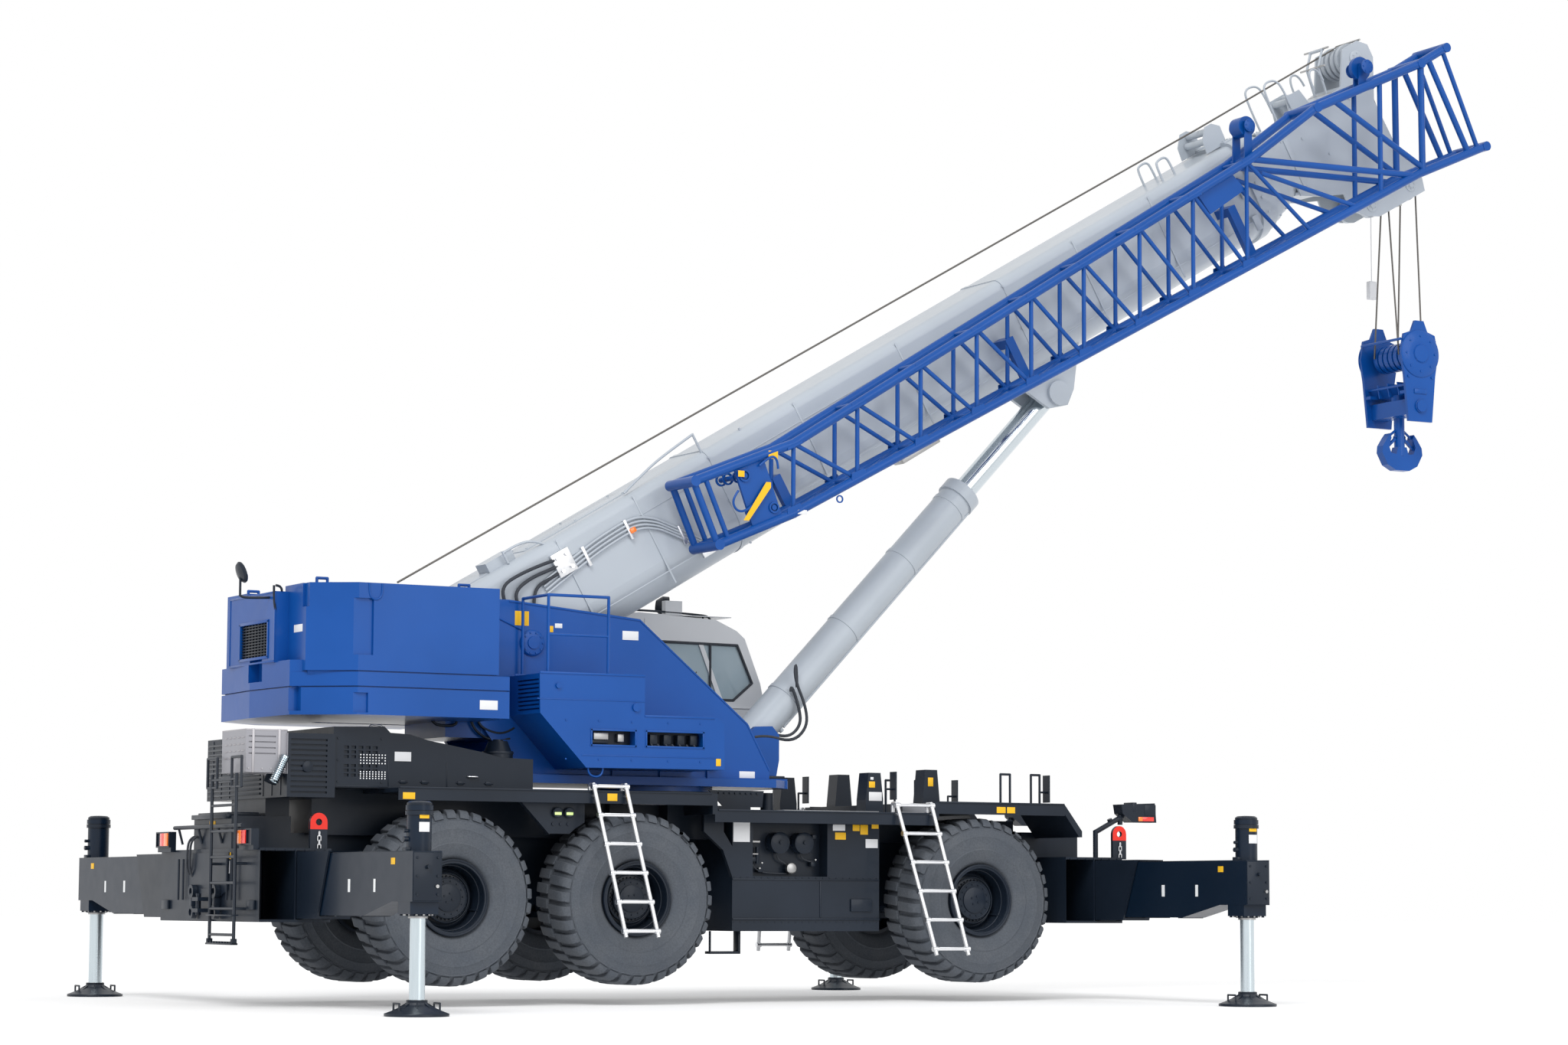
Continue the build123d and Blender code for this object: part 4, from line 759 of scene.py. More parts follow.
JACK_Y = 4.19
for where, box in BOXES.items():
    for tag, side in SIDES:
        cx = box - side * 0.2
        label = f"{where}_{tag}"
        body = f"beam_{label}"
        trim = Shape()
        for y in (1.45, 2.45, 3.1):
            trim.block((cx - 0.158, cx + 0.158), (side * y, side * (y + 0.05)), (0.96, 0.969), 0.003)
        trim.lathe((cx, side * JACK_Y, 2.052), (0, 0, 1), [(0.124, 0.0), (0.124, 0.022), (0.098, 0.04), (0.03, 0.044),
                                                           (0.0, 0.044)], 32)
        trim.hoop((cx, side * JACK_Y, 1.975), (0, 0, 1), (0.122, 0.139), (-0.02, 0.02), 32)
        trim.bolts((cx, side * JACK_Y, 2.05), (0, 0, 1), 0.112, 8, 0.01, 0.012)
        trim.rod((cx - 0.1, side * JACK_Y, 1.72), (cx - 0.165, side * JACK_Y, 1.72), 0.026, 12)
        trim.rod((cx - 0.1, side * JACK_Y, 1.8), (cx - 0.165, side * JACK_Y, 1.8), 0.018, 12)
        trim.block((cx - 0.156, cx - 0.1), (side * 4.14, side * 4.24), (1.604, 1.64), 0.005)
        for edge in (-0.151, 0.151):
            trim.block((cx + edge - 0.006, cx + edge + 0.006), (side * 1.4, side * 4.4), (1.598, 1.606), 0.002)
        trim.block((cx - 0.15, cx + 0.15), (side * 4.398, side * 4.408), (1.12, 1.59), 0.006)
        for z in (1.18, 1.36, 1.54):
            for dx in (-0.11, 0.11):
                trim.stud((cx + dx, side * 4.406, z), (0, side, 0), 0.013, 0.012)
        trim.rod((cx, side * 4.4, 1.45), (cx, side * 4.45, 1.45), 0.02, 12)
        trim.done(f"beam_trim_{label}", "black_paint", body)
        collar = Shape()
        collar.bolts((cx, side * JACK_Y, 0.976), (0, 0, 1), 0.136, 12, 0.013, 0.016)
        collar.hoop((cx, side * JACK_Y, 0.97), (0, 0, 1), (0.0785, 0.098), (-0.02, 0.012), 32)
        collar.stud((cx + 0.1, side * 4.408, 1.26), (0, side, 0), 0.018, 0.02, 12)
        collar.done(f"jack_collar_{label}", "steel", body)
        out = "-x" if where == "rear" or side < 0 else "+x"
        level = cx - 0.155 if out == "-x" else cx + 0.155
        boards(f"beam_plates_{label}", "yellow_board", body, (
            (out, level, (side * 3.87, side * 3.97), (1.475, 1.54)),
            (out, level, (side * 1.18, side * 1.3), (1.46, 1.52)),
            ("-y" if side < 0 else "+y", side * 4.312, (cx - 0.05, cx + 0.05), (1.92, 1.975)),
        ))
        boards(f"jack_plates_{label}", "white_board", body, (
            ("-y" if side < 0 else "+y", side * 4.312, (cx - 0.055, cx + 0.055), (1.79, 1.885)),))
        pad = Shape()
        rim = [(0.3162, 0.002), (0.3195, 0.006), (0.3195, 0.024), (0.3162, 0.029)]
        pad.lathe((cx, side * JACK_Y, 0), (0, 0, 1), rim, 64)
        neck = [(0.0785, 0.012), (0.105, 0.01), (0.105, -0.02), (0.0785, -0.022), (0.0785, 0.012)]
        pad.lathe((cx, side * JACK_Y, 0.148), (0, 0, 1), neck, 32)
        for i in range(8):
            a = TURN * (i + 0.5) / 8
            c, s = math.cos(a), math.sin(a)
            ux, uy = -s * 0.006, c * 0.006
            rib = [(cx + 0.13 * c + ux, side * JACK_Y + 0.13 * s + uy, 0.098),
                   (cx + 0.24 * c + ux, side * JACK_Y + 0.24 * s + uy, 0.049),
                   (cx + 0.1 * c + ux, side * JACK_Y + 0.1 * s + uy, 0.135)]
            pad.plate(rib, (-2 * ux, -2 * uy, 0))
        pad.done(f"float_trim_{label}", "black_paint", f"jack_{label}")
        clip = Shape()
        clip.bolts((cx, side * JACK_Y, 0.15), (0, 0, 1), 0.092, 6, 0.01, 0.012)
        clip.done(f"float_bolts_{label}", "steel", f"jack_{label}")

# ---------------------------------------------------------------- engine hood and silencer

hood = Shape()
for x in (-0.62, 0.06):
    hood.block((x - 0.006, x + 0.006), (-1.154, -1.148), (2.33, 2.6), 0.001)
for x in (-0.45, -0.2, 0.22, 0.55):
    hood.block((x - 0.035, x + 0.035), (-1.162, -1.15), (2.36, 2.4), 0.004)
    hood.rod((x - 0.05, -1.157, 2.38), (x + 0.05, -1.157, 2.38), 0.007, 8)
hood.block((-1.25, -0.62), (-1.158, -1.15), (2.318, 2.332), 0.002)
for x in (-1.2, -0.7):
    for z in (2.37, 2.6, 2.83):
        hood.stud((x, -1.15, z), (0, -1, 0), 0.012, 0.008)
hood.lathe((-1.55, -1.18, 2.52), (0, -1, 0), [(0.06, 0.0), (0.06, 0.006), (0.052, 0.01), (0.0, 0.01)], 32)
for y in (-1.0, -0.75, -0.5, 0.5, 0.75, 1.0):
    hood.block((-1.786, -1.779), (y - 0.012, y + 0.012), (2.22, 2.85), 0.002)
for i in range(12):
    z = 2.24 + 0.05 * i
    hood.block((-1.792, -1.78), (-0.42, 1.15), (z, z + 0.022), 0.003)
hood.lathe((0.74, -0.97, 2.705), (0, 0, 1), [(0.168, 0.0), (0.172, 0.008), (0.172, 0.026), (0.168, 0.034)], 40)
hood.lathe((0.74, -0.97, 2.85), (0, 0, 1), [(0.06, 0.0), (0.055, 0.018), (0.0, 0.02)], 24)
hood.bolts((0.74, -0.97, 2.722), (0, 0, 1), 0.158, 8, 0.01, 0.014)
hood.done("hood_trim", "black_paint", "chassis")
mesh = Shape()
for z0, z1 in ((2.55, 2.68), (2.39, 2.5)):
    for i in range(9):
        for j in range(4):
            mesh.stud((-0.94 + 0.035 * i, -1.151, z0 + 0.02 + (z1 - z0 - 0.04) * j / 3), (0, -1, 0), 0.007,
                      0.004, 8)
mesh.done("hood_mesh_studs", "zinc", "chassis")
pipes("hood_handles", (
    ((-0.74, -0.9, 2.955), (-0.74, -0.9, 3.00), (-0.55, -0.9, 2.98), (-0.55, -0.9, 2.9)),
    ((-0.74, 0.9, 2.955), (-0.74, 0.9, 3.00), (-0.55, 0.9, 2.98), (-0.55, 0.9, 2.9)),
    ((0.3, -1.155, 2.45), (0.3, -1.19, 2.45), (0.42, -1.19, 2.45), (0.42, -1.155, 2.45)),
), 0.01, "zinc", "chassis")

muffler = Shape()
for x in (-2.15, -1.86):
    muffler.block((x - 0.015, x + 0.015), (-1.156, -0.446), (2.446, 2.906), 0.004)
muffler.block((-2.232, -1.77), (-1.153, -0.448), (2.888, 2.904), 0.006)
for x in (-2.2, -2.05, -1.95, -1.8):
    muffler.stud((x, -1.15, 2.49), (0, -1, 0), 0.01, 0.008)
for row in range(4):
    for i in range(5):
        y = -1.1 + 0.12 * i
        muffler.block((-2.236, -2.228), (y, y + 0.07), (2.6 + 0.07 * row, 2.612 + 0.07 * row), 0.001)
muffler.done("silencer_bands", "silencer_steel", "chassis")
stack = Shape()
for i in range(14):
    f = i / 13
    at = (-1.93 + 0.12 * f, -1.2, 2.36 + 0.26 * f)
    stack.lathe(at, (0.42, 0, 0.9), [(0.04, -0.009), (0.052, 0.0), (0.04, 0.009)], 20)
stack.done("exhaust_bellows", "chrome", "chassis")

# ---------------------------------------------------------------- turntable, winch and counterweight
WINCH_X, WINCH_Z, CASE_Y, HATCH_Y = -0.35, 3.96, 0.62, 1.4
case = Shape()
for x0, x1, z in ((1.03, 2.31, 3.59), (2.31, 3.18, 3.15)):
    case.block((x0, x1), (-1.408, -1.392), (z - 0.012, z + 0.012), 0.003)
    case.block((x0, x1), (-0.78, -0.77), (z - 0.012, z + 0.012), 0.003)
case.block((1.00, 2.31), (-1.405, -1.395), (3.3, 3.31), 0.002)
for x0, x1 in ((1.66, 2.2), (2.33, 3.04)):
    for z in (2.815, 2.985):
        case.block((x0 - 0.015, x1 + 0.015), (-1.408, -1.396), (z - 0.01, z + 0.01), 0.002)
    for x in (x0, x1):
        case.block((x - 0.01, x + 0.01), (-1.408, -1.396), (2.8, 3.00), 0.002)
for x in (1.35, 1.75, 2.15, 2.6, 3.0):
    for z in (2.66, 3.08):
        case.stud((x, -HATCH_Y, z), (0, -1, 0), 0.01, 0.008)
case.block((1.54, 3.2), (-1.405, -1.397), (2.7, 2.712), 0.002)
case.rod((2.2, -HATCH_Y, 3.24), (2.2, -1.425, 3.24), 0.045, 20)
case.rod((1.25, -HATCH_Y, 3.45), (1.25, -1.425, 3.45), 0.03, 16)
for y in (-CASE_Y, CASE_Y):
    s = 1 if y > 0 else -1
    case.lathe((1.3, y, 3.96), (0, s, 0), [(0.146, 0.018), (0.132, 0.034), (0.1, 0.04), (0.07, 0.04),
                                           (0.066, 0.055), (0.0, 0.055)], 40)
    case.bolts((1.3, y + s * 0.036, 3.96), (0, s, 0), 0.116, 10, 0.01, 0.014)
    edge = [(1.02, 4.43), (2.64, 4.28), (4.02, 3.15), (4.31, 2.63)]
    for (xa, za), (xb, zb) in zip(edge, edge[1:]):
        case.rod((xa, y - s * 0.004, za - 0.016), (xb, y - s * 0.004, zb - 0.016), 0.014, 8)
    case.block((1.25, 4.25), (y, y + s * 0.012), (2.505, 2.525), 0.003)
    for xa, za, xb, zb in ((0.7, 3.12, 1.18, 3.55), (0.7, 4.3, 1.18, 4.1)):
        case.rod((xa, y + s * 0.004, za), (xb, y + s * 0.004, zb), 0.012, 8)
    for x in (2.3, 2.9, 3.5):
        case.plate([(x - 0.008, y, 2.505), (x + 0.008, y, 2.505), (x + 0.008, y, 2.95), (x - 0.008, y, 2.95)],
                   (0, s * 0.03, 0))
case.done("turntable_trim", "blue_paint", "turntable")

skirt = Shape()
for y in (-0.8, 0.8):
    skirt.plate([(3.43, y, 2.375), (3.62, y, 2.19), (4.12, y, 2.19), (4.14, y, 2.375)], (0, 0.02, 0))
    for i in range(8):
        skirt.stud((3.56 + 0.07 * i, y - 0.004, 2.345), (0, -1, 0), 0.012, 0.012)
skirt.done("ring_skirt", "black_paint", "chassis")

dark = Shape()
for x0, x1 in ((1.66, 2.2), (2.33, 3.04)):
    dark.block((x0 + 0.002, x1 - 0.002), (-1.262, -1.252), (2.818, 2.982))
dark.blocks(
    ((1.66, 1.9), (-1.33, -1.262), (2.835, 2.875), 0.006), ((3.39, 3.63), (-0.72, -0.6), (2.61, 2.85), 0.012),
    ((3.44, 3.58), (-0.735, -0.715), (2.66, 2.8), 0.006))
for x in (2.45, 2.62, 2.79, 2.95):
    dark.block((x - 0.045, x + 0.045), (-1.345, -1.262), (2.84, 2.955), 0.008)
dark.hoop((3.1, 0, 2.402), (0, 0, 1), (0.712, 0.76), (-0.09, -0.045), 64)
dark.block((4.32, 4.56), (-0.54, -0.46), (2.525, 2.56), 0.008)
dark.done("turntable_dark_parts", "black_paint", "turntable")
pale = Shape().block((1.72, 1.9), (-1.335, -1.262), (2.88, 2.96), 0.01)
pale.block((2.02, 2.1), (-1.32, -1.262), (2.86, 2.95), 0.008)
pale.done("hatch_valves", "steel", "turntable")
pipes("hatch_pipes", tuple(
    ((x, -1.345, 2.845), (x, -1.37, 2.825), (x + 0.03, -1.37, 2.79), (x + 0.03, -1.34, 2.75)) for x in
    (2.42, 2.5, 2.6, 2.68, 2.77, 2.86, 2.95)), 0.01, "rubber_hose", "turntable")
pipes("case_loop", (((1.64, -1.36, 2.575), (1.64, -1.36, 2.48), (1.82, -1.36, 2.47), (1.82, -1.36, 2.575)),),
      0.012, "blue_paint", "turntable")

boards("upper_yellow_boards", "yellow_board", "turntable", (
    ("-y", -CASE_Y, (1.09, 1.26), (4.15, 4.31)), ("-y", -CASE_Y, (1.51, 1.56), (4.09, 4.16)),
    ("-y", -HATCH_Y, (3.2, 3.26), (2.62, 2.7)),
))
boards("upper_white_boards", "white_board", "turntable", (
    ("-y", -CASE_Y, (1.58, 1.67), (4.14, 4.19)), ("-y", -CASE_Y, (2.42, 2.62), (4.04, 4.14)),
    ("-y", -CASE_Y, (3.92, 4.12), (2.51, 2.6)), ("-y", -1.47, (0.29, 0.5), (3.16, 3.26)),
    ("-x", -1.59, (-0.83, -1.07), (3.95, 4.03)),
))

rope = Shape()
turns = 36
profile = []
for i in range(turns):
    y = -0.396 + 0.022 * i
    profile += [(0.302, y), (0.32, y + 0.0065), (0.32, y + 0.015)]
profile.append((0.302, 0.396))
rope.lathe((WINCH_X, 0, WINCH_Z), (0, 1, 0), profile, 48)
rope.done("winch_rope", "wire_rope", "turntable", 60.0)
drum = Shape()
for y, s in ((-0.43, -1), (0.43, 1)):
    drum.bolts((WINCH_X, y, WINCH_Z), (0, s, 0), 0.36, 16, 0.014, 0.014)
    drum.lathe((WINCH_X, y, WINCH_Z), (0, s, 0), [(0.18, 0.0), (0.18, 0.04), (0.13, 0.055), (0.0, 0.055)], 32)
drum.done("winch_bolts", "steel", "turntable")

weights = Shape()
for tag, side in SIDES:
    y = side * 1.47
    for x in (-0.75, 0.3):
        weights.lathe((x, side * 1.05, 4.465), (0, 0, 1), [(0.07, 0.0), (0.07, 0.02), (0.03, 0.024), (0.0, 0.024)],
                      24)
    weights.block((-1.3, -1.2), (side * 0.6, side * 1.1), (4.465, 4.485), 0.004)
    for dy in (-0.014, 0.014):
        weights.block((-1.1, 0.6), (y - side * 0.02 + dy, y - side * 0.02 + dy + 0.004), (3.075, 3.092))
for y in (-0.66, 0.66):
    weights.block((-1.752, -1.742), (y - 0.012, y + 0.012), (3.66, 4.39), 0.003)
for z in (3.655, 4.39):
    weights.block((-1.752, -1.742), (-0.66, 0.66), (z - 0.01, z + 0.01), 0.003)
weights.blocks(
    ((-1.756, -1.744), (-0.49, -0.46), (3.7, 4.1), 0.003), ((-1.756, -1.744), (0.33, 0.36), (3.7, 4.1), 0.003),
    ((-1.756, -1.744), (-0.49, 0.36), (4.08, 4.11), 0.003), ((-1.756, -1.744), (-0.49, 0.36), (3.69, 3.72), 0.003))
weights.done("counterweight_trim", "blue_paint", "turntable")
RECESS_X = -0.93
arcs = []
for side in (-1, 1):
    arcs.append(tuple((RECESS_X + dx, side * 1.472, z) for dx, z in
                      ((-0.075, 4.462), (-0.075, 4.36), (-0.05, 4.305), (0.0, 4.285), (0.05, 4.305),
                       (0.075, 4.36), (0.075, 4.462))))
pipes("counterweight_recess_rims", arcs, 0.011, "blue_paint", "turntable")
grille = Shape()
for i in range(11):
    grille.block((-1.735, -1.72), (-0.46, 0.33), (3.742 + 0.031 * i, 3.754 + 0.031 * i), 0.002)
for i in range(9):
    y = -0.42 + 0.09 * i
    grille.block((-1.728, -1.716), (y - 0.005, y + 0.005), (3.72, 4.08), 0.001)
grille.block((-1.715, -1.7), (-0.46, 0.33), (3.72, 4.08))
grille.done("rear_grille", "black_paint", "turntable")
pipes("rear_mirror_arm", (
    ((-1.74, -0.5, 4.34), (-1.9, -0.5, 4.33), (-2.08, -0.5, 4.33), (-2.08, -0.5, 4.36)),
    ((-2.08, -0.5, 4.34), (-2.08, -0.5, 4.45), (-2.08, -0.5, 4.58)),
    ((-1.74, -0.66, 4.2), (-1.76, -0.66, 4.3), (-1.76, -0.66, 4.46)),
    ((-1.67, -0.66, 4.4), (-1.67, -0.66, 4.46), (-1.74, -0.66, 4.46)),
), 0.014, "black_paint", "turntable")
back = Shape()
back.lathe((-2.055, -0.5, 4.6), (-0.94, 0, -0.34), [(0.115, 0.0), (0.118, 0.012), (0.1, 0.036), (0.05, 0.05),
                                                    (0.0, 0.054)], 32)
back.done("rear_mirror_shell", "black_paint", "turntable")
face = Shape().lathe((-2.053, -0.5, 4.6), (0.94, 0, 0.34), [(0.112, 0.0), (0.11, 0.004), (0.0, 0.005)], 32)
face.done("rear_mirror_face", "mirror", "turntable")
hoses = (
    ((0.1, -0.6, 3.145), (0.1, -0.6, 3.1), (0.17, -0.6, 3.02), (0.4, -0.6, 3.02), (0.42, -0.6, 3.1),
     (0.42, -0.6, 3.145)),
    ((0.58, -0.6, 3.145), (0.58, -0.6, 3.08), (0.66, -0.6, 2.95), (0.86, -0.6, 2.86), (1.05, -0.61, 2.9)),
    ((0.66, -0.61, 3.145), (0.66, -0.61, 3.06), (0.77, -0.61, 2.98), (0.98, -0.61, 2.94), (1.1, -0.61, 3.02)),
)
pipes("slab_pipes", hoses, 0.016, "black_paint", "turntable")

# ---------------------------------------------------------------- cab


def frame_bar(shape, points, r, sides=8):
    """A closed bar through the corners of a window."""
    for a, b in zip(points, points[1:] + points[:1]):
        shape.rod(a, b, r, sides)
        shape.ball(a, r, sides)


seals = Shape()
side_pane = [(3.55, 3.48), (4.52, 3.48), (4.77, 3.69), (4.57, 4.13), (3.55, 4.14)]
frame_bar(seals, [(x, 0.642, z) for x, z in side_pane], 0.016)
seals.rod((4.21, 0.638, 3.48), (4.21, 0.638, 4.135), 0.014, 8)
seals.block((3.56, 4.2), (0.63, 0.64), (3.5, 3.52), 0.003)
frame_bar(seals, [(4.926, 0.76, 3.36), (4.926, 1.44, 3.36), (4.672, 1.44, 4.11), (4.672, 0.76, 4.11)], 0.018)
frame_bar(seals, [(3.002, 0.77, 3.51), (3.002, 1.42, 3.51), (3.002, 1.42, 4.19), (3.002, 0.77, 4.19)], 0.014)
frame_bar(seals, [(3.51, 0.8, 4.462), (4.09, 0.8, 4.436), (4.09, 1.4, 4.436), (3.51, 1.4, 4.462)], 0.014)
seals.rods(
    ((4.895, 1.1, 3.46), (4.8, 1.3, 3.8), 0.008, 8), ((4.915, 1.1, 3.37), (4.895, 1.1, 3.47), 0.02, 10),
    ((4.86, 1.2, 3.58), (4.72, 1.34, 3.98), 0.01, 8), ((3.85, 0.625, 3.46), (4.02, 0.625, 3.8), 0.007, 8))
seals.block((3.00, 3.02), (0.8, 1.4), (2.75, 3.4), 0.006)
for z in (2.8, 2.95, 3.1, 3.25):
    seals.block((2.985, 3.002), (0.84, 1.36), (z, z + 0.05), 0.006)
seals.done("cab_seals", "rubber_hose", "turntable")
panels = Shape()
panels.blocks(
    ((3.02, 4.86), (0.628, 0.642), (3.385, 3.405), 0.004), ((3.34, 3.352), (0.634, 0.642), (2.72, 4.4), 0.002),
    ((3.05, 3.5), (0.63, 0.64), (3.5, 4.1), 0.004), ((3.6, 4.5), (0.63, 0.64), (2.8, 3.3), 0.005))
for x in (3.66, 4.44):
    for z in (2.86, 3.24):
        panels.stud((x, 0.63, z), (0, -1, 0), 0.01, 0.008)
panels.block((3.04, 4.5), (0.66, 1.53), (4.452, 4.462), 0.003)
panels.block((3.01, 4.8), (0.625, 0.66), (2.688, 2.712), 0.004)
panels.done("cab_panels", "cab_paint", "turntable")
inside = Shape()
inside.lathe((4.36, 1.06, 3.44), (-0.45, 0, 0.89), [(0.19 + 0.014 * math.cos(a), 0.014 * math.sin(a)) for a in
                                                    (i * TURN / 8 for i in range(9))], 32)
inside.rod((4.36, 1.06, 3.43), (4.54, 1.06, 3.06), 0.035, 12)
for a in (0.3, 2.4, 4.5):
    inside.rod((4.36, 1.06, 3.435), (4.36 + 0.165 * math.cos(a), 1.06 + 0.185 * math.sin(a),
                                     3.435 + 0.085 * math.cos(a)), 0.012, 8)
inside.blocks(
    ((4.52, 4.78), (0.72, 1.46), (3.05, 3.34), 0.03), ((3.56, 3.96), (0.7, 0.79), (3.06, 3.36), 0.02),
    ((3.56, 3.96), (1.33, 1.42), (3.06, 3.36), 0.02))
for y in (0.745, 1.375):
    for x in (3.8, 3.9):
        inside.rod((x, y, 3.36), (x + 0.02, y, 3.5), 0.01, 8)
        inside.ball((x + 0.02, y, 3.51), 0.024, 12)
inside.rod((4.05, 1.06, 2.76), (4.4, 1.06, 2.8), 0.03, 8)
inside.blocks(
    ((4.55, 4.68), (0.9, 1.00), (2.8, 2.96), 0.01), ((4.55, 4.68), (1.12, 1.22), (2.8, 2.96), 0.01),
    ((4.42, 4.5), (0.7, 0.76), (3.55, 3.8), 0.02))
inside.done("cab_controls", "rubber_hose", "turntable")
pipes("cab_rails", (
    ((3.15, 0.7, 4.455), (3.15, 0.7, 4.49), (3.3, 0.7, 4.5), (3.7, 0.7, 4.49), (4.1, 0.7, 4.475),
     (4.22, 0.7, 4.46), (4.24, 0.7, 4.42)),
    ((3.58, 0.7, 4.44), (3.58, 0.7, 4.46), (3.58, 0.7, 4.492)),
    ((4.14, 0.7, 4.42), (4.14, 0.7, 4.45), (4.14, 0.7, 4.472)),
    ((3.1, 0.625, 3.42), (3.1, 0.58, 3.44), (3.1, 0.58, 3.95), (3.1, 0.625, 3.97)),
), 0.013, "black_paint", "turntable")
lamp = Shape()
lamp.lathe((3.73, 0.9, 4.575), (0.9, -0.35, -0.1), [(0.06, -0.1), (0.115, -0.03), (0.118, 0.045), (0.106, 0.05),
                                                    (0.104, 0.03)], 32)
lamp.rod((3.7, 0.9, 4.45), (3.7, 0.9, 4.5), 0.018, 10)
lamp.done("cab_lamp_shell", "black_paint", "turntable")
glow = Shape().lathe((3.73, 0.9, 4.575), (0.9, -0.35, -0.1), [(0.104, 0.03), (0.08, 0.044), (0.0, 0.05)], 32)
glow.done("cab_lamp_glass", "window_glass", "turntable")


def cushion(name, x, y, z, crown, channels):
    """A crowned pad with sewn channels, its sides pulled in between the corners."""
    bm = bmesh.new()
    middle = Vector([(a + b) / 2 for a, b in (x, y, z)])
    size = Vector([b - a for a, b in (x, y, z)])
    bmesh.ops.create_cube(bm, size=1.0)
    bmesh.ops.subdivide_edges(bm, edges=bm.edges[:], cuts=15, use_grid_fill=True)
    thin = min(range(3), key=lambda i: size[i])
    wide = [i for i in range(3) if i != thin]
    for v in bm.verts:
        u, w = (v.co[i] * 2 for i in wide)
        fall = (1 - u ** 4) * (1 - w ** 4)
        side = 1 if v.co[thin] > 0 else -1
        v.co[thin] *= 0.62 + 0.38 * fall ** 0.5
        v.co[thin] += side * crown * fall / size[thin] * 0.5
        for i, other in zip(wide, (w, u)):
            v.co[i] *= 1 - 0.03 * (1 - other ** 2) - 0.1 * abs(v.co[thin]) ** 2
        groove = min(abs(w - g) for g in channels)
        v.co[thin] -= side * 0.012 / size[thin] * max(0.0, 1 - groove / 0.09) * fall
    for v in bm.verts:
        v.co = Vector([middle[i] + v.co[i] * size[i] for i in range(3)])
    bmesh.ops.transform(bm, matrix=CARRIER, verts=bm.verts)
    bmesh.ops.smooth_vert(bm, verts=bm.verts, factor=0.4, use_axis_x=True, use_axis_y=True, use_axis_z=True)
    bmesh.ops.recalc_face_normals(bm, faces=bm.faces)
    data = bpy.data.meshes.new(name)
    bm.to_mesh(data)
    bm.free()
    for f in data.polygons:
        f.use_smooth = True
    pad = show(name, data, "seat_fabric", "turntable")
    subdivide = pad.modifiers.new("soft", "SUBSURF")
    subdivide.levels = subdivide.render_levels = 1
    return pad or pad


cushion("seat_cushion", (3.49, 3.98), (0.842, 1.278), (3.055, 3.178), 0.02, (-0.5, 0.0, 0.5))
cushion("seat_back", (3.402, 3.498), (0.842, 1.278), (3.155, 3.66), 0.02, (-0.5, 0.0, 0.5))
cushion("seat_headrest", (3.405, 3.495), (0.94, 1.18), (3.7, 3.845), 0.015, (-2.0, 2.0))
seat = Shape()
seat.block((3.6, 3.85), (0.95, 1.17), (2.745, 3.04), 0.02)
seat.block((3.5, 3.94), (0.9, 1.22), (3.035, 3.055), 0.008)
for y in (1.02, 1.1):
    seat.rod((3.45, y, 3.64), (3.45, y, 3.72), 0.008, 8)
for y in (0.825, 1.295):
    seat.block((3.48, 3.86), (y - 0.024, y + 0.024), (3.302, 3.358), 0.016)
    seat.block((3.445, 3.495), (y - 0.02, y + 0.02), (3.16, 3.31), 0.008)
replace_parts(seat.done("seat_frame", "rubber_hose", "turntable"), "cab_seat")

door = Shape()
frame_bar(door, [(x, 1.6, z) for x, z in ((3.61, 3.42), (4.51, 3.42), (4.51, 3.64), (4.4, 4.1), (3.61, 4.1))],
          0.014)
door.block((3.6, 4.5), (1.597, 1.606), (2.9, 3.36), 0.004)
door.block((3.66, 3.7), (1.6, 1.622), (3.14, 3.42), 0.006)
for z in (2.85, 4.15):
    door.rod((3.62, 1.6, z), (4.4, 1.6, z), 0.008, 8)
door.done("door_trim", "rubber_hose", "cab_door")

# ---------------------------------------------------------------- boom


base = Shape(BOOM)
for s in (-0.46, 3.08, 7.7):
    for y in (-0.483, 0.483):
        for t in (-0.32, -0.05, 0.22, 0.5, 0.78):
            base.stud((s, y, t), (0, 1 if y > 0 else -1, 0), 0.014, 0.012)
for t in (0.6, -0.12):
    for y in (-0.471, 0.471):
        base.block((0.2, 11.6), (y - 0.003, y + 0.003), (t - 0.006, t + 0.006), 0.001)
for y in (-0.505, 0.505):
    side = 1 if y > 0 else -1
    for t in (-0.3, -0.1, 0.1, 0.3, 0.5, 0.7):
        base.stud((11.77, y, t), (0, side, 0), 0.016, 0.014)
    base.block((11.5, 11.6), (side * 0.47, side * 0.5), (0.2, 0.45), 0.006)
    base.block((11.5, 11.6), (side * 0.47, side * 0.5), (-0.25, -0.05), 0.006)
for y in (-0.3, 0.0, 0.3):
    base.block((11.7, 11.84), (y - 0.06, y + 0.06), (0.9, 0.925), 0.006)
    base.bolts((11.77, y, 0.925), (0, 0, 1), 0.035, 2, 0.012, 0.012)
for s in (0.9, 2.0, 4.4, 6.0, 8.9, 10.2):
    for y in (-0.472, 0.472):
        base.block((s - 0.012, s + 0.012), (y - 0.004, y + 0.004), (-0.28, 0.84), 0.001)
base.block((-0.3, 0.05), (-0.3, 0.3), (0.868, 0.88), 0.004)
base.block((0.6, 2.1), (-0.22, 0.22), (0.868, 0.878), 0.004)
for s in (0.66, 1.35, 2.04):
    for y in (-0.19, 0.19):
        base.stud((s, y, 0.878), (0, 0, 1), 0.012, 0.01)
base.done("boom_trim", "boom_paint", "boom_base")

under = Shape(BOOM)
under.block((5.45, 6.35), (-0.16, 0.16), (-0.47, -0.4), 0.012)
under.block((5.6, 6.2), (-0.11, 0.11), (-0.53, -0.46), 0.012)
for s in (5.52, 6.28):
    for y in (-0.12, 0.12):
        under.stud((s, y, -0.47), (0, 0, -1), 0.014, 0.014)
under.done("boom_belly_bracket", "steel", "boom_base")

